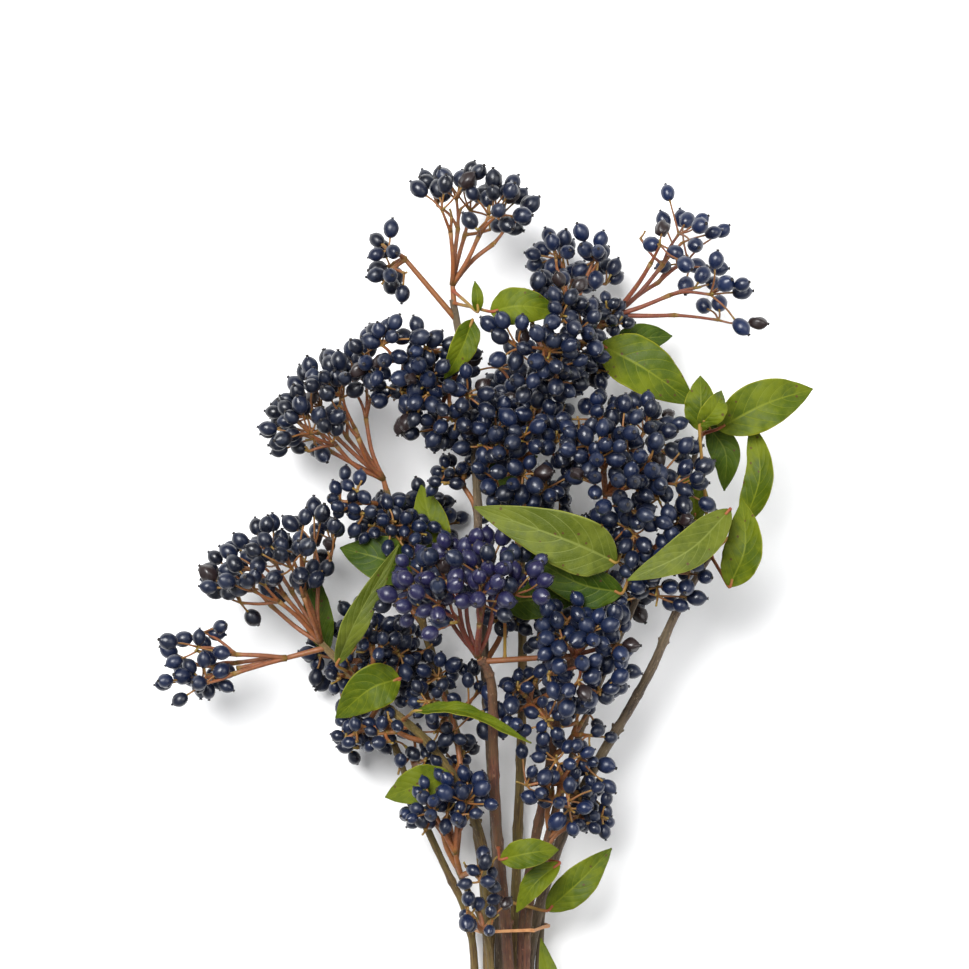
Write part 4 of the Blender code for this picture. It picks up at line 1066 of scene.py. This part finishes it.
# two thin strands side by side round the stems
def buildBand(plan, material):
    loop = plan["band"]
    shape = Shape()
    for strand in range(band["strands"]):
        offset = (strand - (band["strands"] - 1) / 2) * band["apart"]
        path = []
        for start, end in zip(loop, loop[1:] + loop[:1]):
            for step in range(band["places"]):
                point = start.lerp(end, step / band["places"])
                turn = len(path) * band["wobbleTurn"] + strand
                path.append(point + Vector((0, offset + band["wobble"] * math.sin(turn), 0)))
        count = len(path)
        centre = sum(path, Vector()) / count
        rings = []
        for i, point in enumerate(path):
            way = (path[(i + 1) % count] - path[i - 1]).normalized()
            out = way.cross(Vector((0, 1, 0))).normalized()
            if out.dot(point - centre) < 0:
                out = -out
            up = way.cross(out)
            for side in range(band["sides"]):
                turn = side * math.tau / band["sides"]
                rings.append(point + (out * math.cos(turn) + up * math.sin(turn)) * band["half"])
        faces = gridFaces(count + 1, band["sides"], True)
        faces = [tuple(corner % (count * band["sides"]) for corner in face) for face in faces]
        shape.add([tuple(p) for p in rings], faces, (0.5, 0.5, 0.5, 1.0))
    shape.piece("band_strands", material, "band")


# short calls for laying out a node tree
class Graph:
    def __init__(self, tree):
        self.nodes, self.links = tree.nodes, tree.links

    def node(self, kind, inputs=None, **settings):
        made = self.nodes.new(kind)
        for key, value in settings.items():
            setattr(made, key, value)
        for key, value in (inputs or {}).items():
            if isinstance(value, bpy.types.NodeSocket):
                self.links.new(value, made.inputs[key])
            else:
                made.inputs[key].default_value = value
        return made

    def math(self, operation, *values):
        return self.node("ShaderNodeMath", dict(enumerate(values)), operation=operation).outputs[0]

    # 0 below low, 1 above high and smooth between
    def step(self, value, low, high):
        made = self.node("ShaderNodeMapRange", {0: value, 1: low, 2: high}, interpolation_type="SMOOTHSTEP")
        return made.outputs[0]

    def mix(self, share, first, second):
        made = self.node("ShaderNodeMix", {0: share, 6: first, 7: second}, data_type="RGBA")
        return made.outputs[2]

    def effect(self, group, **inputs):
        return self.node("ShaderNodeGroup", inputs, node_tree=group).outputs

    # lays colours over a first one, each by a mask and its own share
    def cover(self, colour, layers):
        for mask, share, over in layers:
            colour = self.mix(self.math("MULTIPLY", mask, share), colour, over)
        return colour

    # joins a skin's colour, roughness and relief to its shader
    def finish(self, shader, colour, rough, height, bump):
        made = self.node("ShaderNodeBump", {"Height": height, "Strength": bump[0], "Distance": bump[1]})
        self.links.new(colour, shader.inputs["Base Color"])
        self.links.new(rough, shader.inputs["Roughness"])
        self.links.new(made.outputs[0], shader.inputs["Normal"])

    # spreads a mask over a width that starts at low
    def spread(self, mask, width, low):
        return self.math("MULTIPLY_ADD", mask, width, low)


# an empty node group with named sockets
def newGroup(name, inputs, outputs):
    tree = bpy.data.node_groups.new(name, "ShaderNodeTree")
    for label, kind, value in inputs:
        socket = tree.interface.new_socket(label, in_out="INPUT", socket_type=kind)
        if value is not None:
            socket.default_value = value
    for label, kind in outputs:
        tree.interface.new_socket(label, in_out="OUTPUT", socket_type=kind)
    graph = Graph(tree)
    return tree, graph, graph.node("NodeGroupInput").outputs, graph.node("NodeGroupOutput").inputs


mottleLook = {"finer": 5.5, "soft": 0.16}


# soft patches over fine grain, for skin, bark and leaf alike
def mottleGroup():
    tree, graph, given, result = newGroup(
        "mottle", [("Vector", "NodeSocketVector", None), ("Scale", "NodeSocketFloat", 300.0),
                   ("Fine", "NodeSocketFloat", 0.3)],
        [("Mask", "NodeSocketFloat"), ("Height", "NodeSocketFloat")])
    noise = {"Vector": given["Vector"], "Scale": given["Scale"], "Detail": 3.0}
    coarse = graph.node("ShaderNodeTexNoise", noise)
    finer = graph.math("MULTIPLY", given["Scale"], mottleLook["finer"])
    grain = graph.node("ShaderNodeTexNoise", {"Vector": given["Vector"], "Scale": finer, "Detail": 2.0})
    added = graph.spread(grain.outputs[0], given["Fine"], coarse.outputs[0])
    spread = graph.spread(given["Fine"], 0.5, 0.5)
    soft = mottleLook["soft"]
    graph.links.new(graph.step(graph.math("SUBTRACT", added, spread), -soft, soft), result["Mask"])
    graph.links.new(added, result["Height"])
    return tree


# scattered small spots, for leaf specks and the pores of bark
def speckGroup():
    tree, graph, given, result = newGroup(
        "specks", [("Vector", "NodeSocketVector", None), ("Scale", "NodeSocketFloat", 300.0),
                   ("Size", "NodeSocketFloat", 0.2), ("Share", "NodeSocketFloat", 0.3)],
        [("Mask", "NodeSocketFloat")])
    cells = graph.node("ShaderNodeTexVoronoi", {"Vector": given["Vector"], "Scale": given["Scale"]})
    spot = graph.math("LESS_THAN", cells.outputs["Distance"], given["Size"])
    chosen = graph.node("ShaderNodeSeparateColor", {0: cells.outputs["Color"]}).outputs[0]
    few = graph.math("LESS_THAN", chosen, given["Share"])
    graph.links.new(graph.math("MULTIPLY", spot, few), result["Mask"])
    return tree


veinLook = {
    "bend": 1.3, "rib": (-0.05, 0.085), "ribCore": 0.3, "line": (0.015, 0.075), "fade": (0.75, 0.97),
    "netAcross": 5.0, "netAlong": 14.0, "netScale": 3.2, "netLine": (0.0, 0.09), "rim": (0.93, 1.0),
}


# rib, side veins, net and rim of a leaf, from its place across and along the blade
def veinGroup():
    tree, graph, given, result = newGroup(
        "leaf_veins", [("Across", "NodeSocketFloat", 0.5), ("Along", "NodeSocketFloat", 0.5),
                       ("Count", "NodeSocketFloat", 7.5), ("Sweep", "NodeSocketFloat", 0.3)],
        [("Rib", "NodeSocketFloat"), ("Veins", "NodeSocketFloat"), ("Net", "NodeSocketFloat"),
         ("Rim", "NodeSocketFloat")])
    side = graph.math("ABSOLUTE", graph.spread(given["Across"], 2.0, -1.0))
    narrowing = graph.spread(given["Along"], *veinLook["rib"])
    core = graph.math("MULTIPLY", narrowing, veinLook["ribCore"])
    rib = graph.math("SUBTRACT", 1.0, graph.step(side, core, narrowing))
    swept = graph.math("MULTIPLY", graph.math("POWER", side, veinLook["bend"]), given["Sweep"])
    phase = graph.math("FRACT", graph.math("MULTIPLY", graph.math("SUBTRACT", given["Along"], swept),
                                           given["Count"]))
    near = graph.math("MINIMUM", phase, graph.math("SUBTRACT", 1.0, phase))
    line = graph.math("SUBTRACT", 1.0, graph.step(near, *veinLook["line"]))
    veins = graph.math("MULTIPLY", line, graph.math("SUBTRACT", 1.0, graph.step(side, *veinLook["fade"])))
    place = graph.node("ShaderNodeCombineXYZ", {
        0: graph.math("MULTIPLY", side, veinLook["netAcross"]),
        1: graph.math("MULTIPLY", given["Along"], veinLook["netAlong"])}).outputs[0]
    cells = graph.node("ShaderNodeTexVoronoi", {"Vector": place, "Scale": veinLook["netScale"]},
                       feature="DISTANCE_TO_EDGE")
    net = graph.math("SUBTRACT", 1.0, graph.step(cells.outputs["Distance"], *veinLook["netLine"]))
    graph.links.new(rib, result["Rib"])
    graph.links.new(veins, result["Veins"])
    graph.links.new(net, result["Net"])
    graph.links.new(graph.step(side, *veinLook["rim"]), result["Rim"])
    return tree


# a material with its graph, its shader, the tint's four parts and the place on the object
def newMaterial(name):
    made = bpy.data.materials.new(name)
    made.use_nodes = True
    graph = Graph(made.node_tree)
    shader = made.node_tree.nodes["Principled BSDF"]
    tint = graph.node("ShaderNodeAttribute", attribute_name="tint")
    parts = graph.node("ShaderNodeSeparateColor", {0: tint.outputs["Color"]}).outputs
    place = graph.node("ShaderNodeTexCoord").outputs["Object"]
    return made, graph, shader, (parts[0], parts[1], parts[2], tint.outputs["Alpha"]), place


berryLook = {
    "deep": (0.002, 0.0028, 0.0065, 1), "blue": (0.0055, 0.0125, 0.046, 1), "violet": (0.011, 0.009, 0.04, 1),
    "dried": (0.016, 0.009, 0.009, 1), "bloom": (0.035, 0.052, 0.11, 1), "crown": (0.008, 0.005, 0.004, 1),
    "bloomShare": 0.22, "skinScale": 260.0, "fine": 0.25, "rough": (0.27, 0.42), "bump": (0.12, 0.0004),
    "crownFrom": (0.84, 0.97), "crownRough": 0.3, "violetFrom": (0.2, 0.45), "driedFrom": (0.7, 0.9),
    "bloomRange": (0.8, 0.2),
}


def berrySkin(groups):
    made, graph, shader, (blue, outward, kind, chance), place = newMaterial("berry_skin")
    look = berryLook
    mottle = graph.effect(groups["mottle"], Vector=place, Scale=look["skinScale"], Fine=look["fine"])
    mask = mottle["Mask"]
    colour = graph.mix(blue, look["deep"], look["blue"])
    colour = graph.mix(graph.step(kind, *look["violetFrom"]), colour, look["violet"])
    dusty = graph.math("MULTIPLY", graph.math("MULTIPLY", mask, look["bloomShare"]),
                       graph.spread(chance, *look["bloomRange"]))
    colour = graph.mix(dusty, colour, look["bloom"])
    colour = graph.mix(graph.step(kind, *look["driedFrom"]), colour, look["dried"])
    crown = graph.step(outward, *look["crownFrom"])
    colour = graph.mix(crown, colour, look["crown"])
    rough = graph.spread(mask, look["rough"][1] - look["rough"][0], look["rough"][0])
    rough = graph.spread(crown, look["crownRough"], rough)
    graph.finish(shader, colour, rough, mottle["Height"], look["bump"])
    return made


twigLook = {
    "tan": (0.235, 0.078, 0.02, 1), "wine": (0.13, 0.02, 0.012, 1), "olive": (0.19, 0.14, 0.02, 1),
    "shade": (0.095, 0.034, 0.014, 1), "scale": 420.0, "fine": 0.5, "speckScale": 900.0, "rough": (0.2, 0.5),
    "speckSize": 0.3, "speckShare": 0.3, "speckCover": 0.5, "shadeCover": 0.45, "knotCover": (0.5, 0.45),
    "bump": (0.4, 0.0003),
}


def twigSkin(groups):
    made, graph, shader, (red, knot, chance, _), place = newMaterial("twig_skin")
    look = twigLook
    mottle = graph.effect(groups["mottle"], Vector=place, Scale=look["scale"], Fine=look["fine"])
    specks = graph.effect(groups["specks"], Vector=place, Scale=look["speckScale"], Size=look["speckSize"],
                          Share=look["speckShare"])
    colour = graph.mix(red, look["tan"], look["wine"])
    colour = graph.cover(colour, [
        (mottle["Mask"], look["shadeCover"], look["shade"]),
        (knot, graph.spread(chance, *look["knotCover"]), look["olive"]),
        (specks["Mask"], look["speckCover"], look["olive"])])
    graph.finish(shader, colour, graph.spread(mottle["Mask"], *look["rough"]), mottle["Height"], look["bump"])
    return made


barkLooks = {
    "red": {"light": (0.13, 0.045, 0.022, 1), "dark": (0.045, 0.015, 0.009, 1),
            "pore": (0.25, 0.14, 0.075, 1), "moss": (0.1, 0.06, 0.02, 1)},
    "grey": {"light": (0.16, 0.11, 0.07, 1), "dark": (0.05, 0.032, 0.02, 1), "pore": (0.3, 0.22, 0.14, 1),
             "moss": (0.1, 0.075, 0.03, 1)},
    "olive": {"light": (0.19, 0.12, 0.035, 1), "dark": (0.07, 0.038, 0.012, 1), "pore": (0.3, 0.2, 0.08, 1),
              "moss": (0.12, 0.1, 0.018, 1)},
}
barkOf = {
    "stem_top": "grey", "stem_upper_left": "olive", "stem_left": "olive", "stem_centre": "red",
    "stem_right": "grey", "stem_middle": "red", "stem_upper_right": "olive", "stem_leafy_right": "grey",
    "stem_far_left": "olive", "stem_low_left": "olive", "stem_low_right": "red",
}
barkShared = {
    "streaks": 7.0, "streakScale": 5.0, "patchScale": 70.0, "poreRows": 22.0, "poreScale": 6.0,
    "poreSize": 0.26, "poreShare": 0.3, "rough": (0.2, 0.58), "bump": (0.8, 0.0008), "ringScale": 900.0,
    "streakFine": 0.6, "patchFine": 0.4, "mossCover": 0.5, "poreCover": 0.7, "poreHigh": 0.5,
    "wood": (0.3, 0.6),
}
woodLook = {"pale": (0.5, 0.36, 0.17, 1), "ring": (0.34, 0.22, 0.09, 1)}


def barkSkin(kind, groups):
    made, graph, shader, (cosine, sine, along, wood), place = newMaterial("bark_" + kind)
    look = barkLooks[kind]
    shared = barkShared
    streaks = graph.node("ShaderNodeCombineXYZ",
                         {0: cosine, 1: sine, 2: graph.math("MULTIPLY", along, shared["streaks"])})
    grain = graph.effect(groups["mottle"], Vector=streaks.outputs[0], Scale=shared["streakScale"],
                         Fine=shared["streakFine"])
    patches = graph.effect(groups["mottle"], Vector=place, Scale=shared["patchScale"],
                           Fine=shared["patchFine"])
    cells = graph.node("ShaderNodeCombineXYZ",
                       {0: cosine, 1: sine, 2: graph.math("MULTIPLY", along, shared["poreRows"])})
    pores = graph.effect(groups["specks"], Vector=cells.outputs[0], Scale=shared["poreScale"],
                         Size=shared["poreSize"], Share=shared["poreShare"])
    colour = graph.cover(graph.mix(grain["Mask"], look["dark"], look["light"]), [
        (patches["Mask"], shared["mossCover"], look["moss"]),
        (pores["Mask"], shared["poreCover"], look["pore"])])
    rings = graph.node("ShaderNodeTexNoise", {"Vector": place, "Scale": shared["ringScale"]})
    cut = graph.mix(rings.outputs[0], woodLook["pale"], woodLook["ring"])
    colour = graph.mix(graph.step(wood, *shared["wood"]), colour, cut)
    height = graph.spread(pores["Mask"], shared["poreHigh"], grain["Height"])
    graph.finish(shader, colour, graph.spread(grain["Mask"], *shared["rough"]), height, shared["bump"])
    return made


leafLooks = {
    "bright": {"upper": (0.042, 0.068, 0.0012, 1), "patch": (0.1, 0.125, 0.0025, 1),
               "under": (0.11, 0.13, 0.02, 1), "vein": (0.125, 0.15, 0.006, 1), "rim": (0.26, 0.25, 0.02, 1)},
    "dark": {"upper": (0.018, 0.042, 0.0015, 1), "patch": (0.045, 0.078, 0.002, 1),
             "under": (0.11, 0.14, 0.03, 1), "vein": (0.1, 0.13, 0.012, 1), "rim": (0.17, 0.19, 0.025, 1)},
    "pale": {"upper": (0.055, 0.074, 0.004, 1), "patch": (0.1, 0.12, 0.01, 1),
             "under": (0.06, 0.09, 0.006, 1), "vein": (0.14, 0.165, 0.03, 1), "rim": (0.24, 0.25, 0.045, 1)},
}
leafShared = {
    "speck": (0.07, 0.03, 0.012, 1), "stalk": (0.25, 0.16, 0.035, 1), "red": (0.24, 0.06, 0.03, 1),
    "gloss": 0.18, "patchScale": 65.0, "fine": 0.35, "speckScale": 330.0, "rough": (0.14, 0.46),
    "speckSize": 0.2, "speckShare": 0.2, "speckCover": 0.8, "underside": (0.3, 0.7),
    "veins": {"Net": 0.22, "Veins": 0.55, "Rib": 0.85}, "rimCover": 0.7, "veinDeep": -0.6, "netDeep": -0.25,
    "bump": (0.35, 0.0005),
}


def leafSkin(kind, groups):
    made, graph, shader, (across, along, under, stalk), place = newMaterial("leaf_" + kind)
    look = leafLooks[kind]
    shared = leafShared
    veins = graph.effect(groups["veins"], Across=across, Along=along, Count=blades["veins"],
                         Sweep=blades["sweep"])
    mottle = graph.effect(groups["mottle"], Vector=place, Scale=shared["patchScale"], Fine=shared["fine"])
    specks = graph.effect(groups["specks"], Vector=place, Scale=shared["speckScale"],
                          Size=shared["speckSize"], Share=shared["speckShare"])
    colour = graph.mix(mottle["Mask"], look["upper"], look["patch"])
    colour = graph.mix(graph.step(under, *shared["underside"]), colour, look["under"])
    lines = [(veins[part], share, look["vein"]) for part, share in shared["veins"].items()]
    colour = graph.cover(colour, lines)
    colour = graph.cover(colour, [(veins["Rim"], shared["rimCover"], look["rim"]),
                                  (specks["Mask"], shared["speckCover"], shared["speck"])])
    stem = graph.mix(mottle["Mask"], shared["stalk"], shared["red"])
    shader.inputs["Specular IOR Level"].default_value = shared["gloss"]
    relief = graph.spread(veins["Veins"], shared["veinDeep"], mottle["Height"])
    relief = graph.spread(veins["Net"], shared["netDeep"], relief)
    rough = graph.spread(mottle["Mask"], *shared["rough"])
    graph.finish(shader, graph.mix(stalk, colour, stem), rough, relief, shared["bump"])
    return made


bandLook = {"dark": (0.4, 0.17, 0.06, 1), "light": (0.5, 0.25, 0.1, 1), "scale": 500.0, "rough": (0.2, 0.45),
            "bump": (0.3, 0.0003)}


def bandSkin(groups):
    made, graph, shader, _, place = newMaterial("band_tan")
    mottle = graph.effect(groups["mottle"], Vector=place, Scale=bandLook["scale"], Fine=0.5)
    colour = graph.mix(mottle["Mask"], bandLook["dark"], bandLook["light"])
    rough = graph.spread(mottle["Mask"], *bandLook["rough"])
    graph.finish(shader, colour, rough, mottle["Height"], bandLook["bump"])
    return made


studio = {
    "middle": (-0.2, 193.8),   # the middle of the view, in the layout's millimetres
    "shown": 0.3876, "lens": 160.0, "sensor": 36.0, "level": 0.055,
    "clip": 50, "lampsAim": (0, 0.05, 0.05), "floorDrop": 0.0004, "floorRough": 0.9,
    "floor": (0.96, 0.96, 0.96, 1), "floorSize": 8.0, "world": (0.95, 0.97, 1.0, 1), "worldStrength": 0.42,
    "lamps": {"key": {"at": (-0.35, 0.5, 1.3), "size": 0.7, "power": 34.0},
              "fill": {"at": (0.9, 0.1, 1.0), "size": 0.9, "power": 7.0}},
}


def makeCamera():
    eye = bpy.data.objects.new("camera", bpy.data.cameras.new("camera"))
    eye.data.lens = studio["lens"]
    eye.data.sensor_width = studio["sensor"]
    eye.data.clip_end = studio["clip"]
    away = studio["shown"] * studio["lens"] / studio["sensor"]
    eye.location = ((studio["middle"][0] - tableOrigin.x) * mm, (studio["middle"][1] - tableOrigin.y) * mm,
                    studio["level"] + away)
    bpy.context.scene.collection.objects.link(eye)
    bpy.context.scene.camera = eye


def makeStage():
    side = studio["floorSize"] / 2
    mesh = bpy.data.meshes.new("floor")
    corners = [(-side, -side, 0), (side, -side, 0), (side, side, 0), (-side, side, 0)]
    mesh.from_pydata(corners, [], [(0, 1, 2, 3)])
    floor = bpy.data.objects.new("floor", mesh)
    floor.location.z = -studio["floorDrop"]
    bpy.context.scene.collection.objects.link(floor)
    paper = bpy.data.materials.new("floor_white")
    paper.use_nodes = True
    shader = paper.node_tree.nodes["Principled BSDF"]
    shader.inputs["Base Color"].default_value = studio["floor"]
    shader.inputs["Roughness"].default_value = studio["floorRough"]
    mesh.materials.append(paper)
    for name, lamp in studio["lamps"].items():
        light = bpy.data.lights.new(name, "AREA")
        light.size = lamp["size"]
        light.energy = lamp["power"]
        made = bpy.data.objects.new(name, light)
        made.location = lamp["at"]
        aim = Vector(studio["lampsAim"]) - made.location
        made.rotation_euler = aim.to_track_quat("-Z", "Y").to_euler()
        bpy.context.scene.collection.objects.link(made)
    world = bpy.data.worlds.new("studio")
    world.use_nodes = True
    world.node_tree.nodes["Background"].inputs["Color"].default_value = studio["world"]
    world.node_tree.nodes["Background"].inputs["Strength"].default_value = studio["worldStrength"]
    bpy.context.scene.world = world
    bpy.context.scene.view_settings.view_transform = "Standard"


makeCamera()
makeStage()
print("camera and stage ready")
room = Room()
plan = planBunch(room)
addSprays(room, plan)
print("layout grown, berries", len(plan["berries"]))
fillHeads(room, plan)
print("heads filled, berries", len(plan["berries"]))
groups = {"mottle": mottleGroup(), "specks": speckGroup(), "veins": veinGroup()}
skin = berrySkin(groups)
twig = twigSkin(groups)
barks = {kind: barkSkin(kind, groups) for kind in barkLooks}
greens = {kind: leafSkin(kind, groups) for kind in leafLooks}
print("materials ready")
berryDraw = random.Random(seeds["shapes"])
kinds = [berryShape(berryDraw, dried) for dried in (False, True) for _ in range(berries["kinds"])]
for name in stems:
    buildBark(name, plan, barks[barkOf[name]])
    if any(grown["owner"] == name for grown in plan["heads"].values()):
        buildTwigs(name, plan, twig)
        buildBerries(name, plan, skin, kinds)
print("stems, twigs and berries built")
for name, grown in plan["leaves"].items():
    kind = next((kind for kind in ("pale", "dark") if name in blades[kind]), "bright")
    buildLeaf(name, grown, greens[kind])
buildBand(plan, bandSkin(groups))
print("leaves and band built")
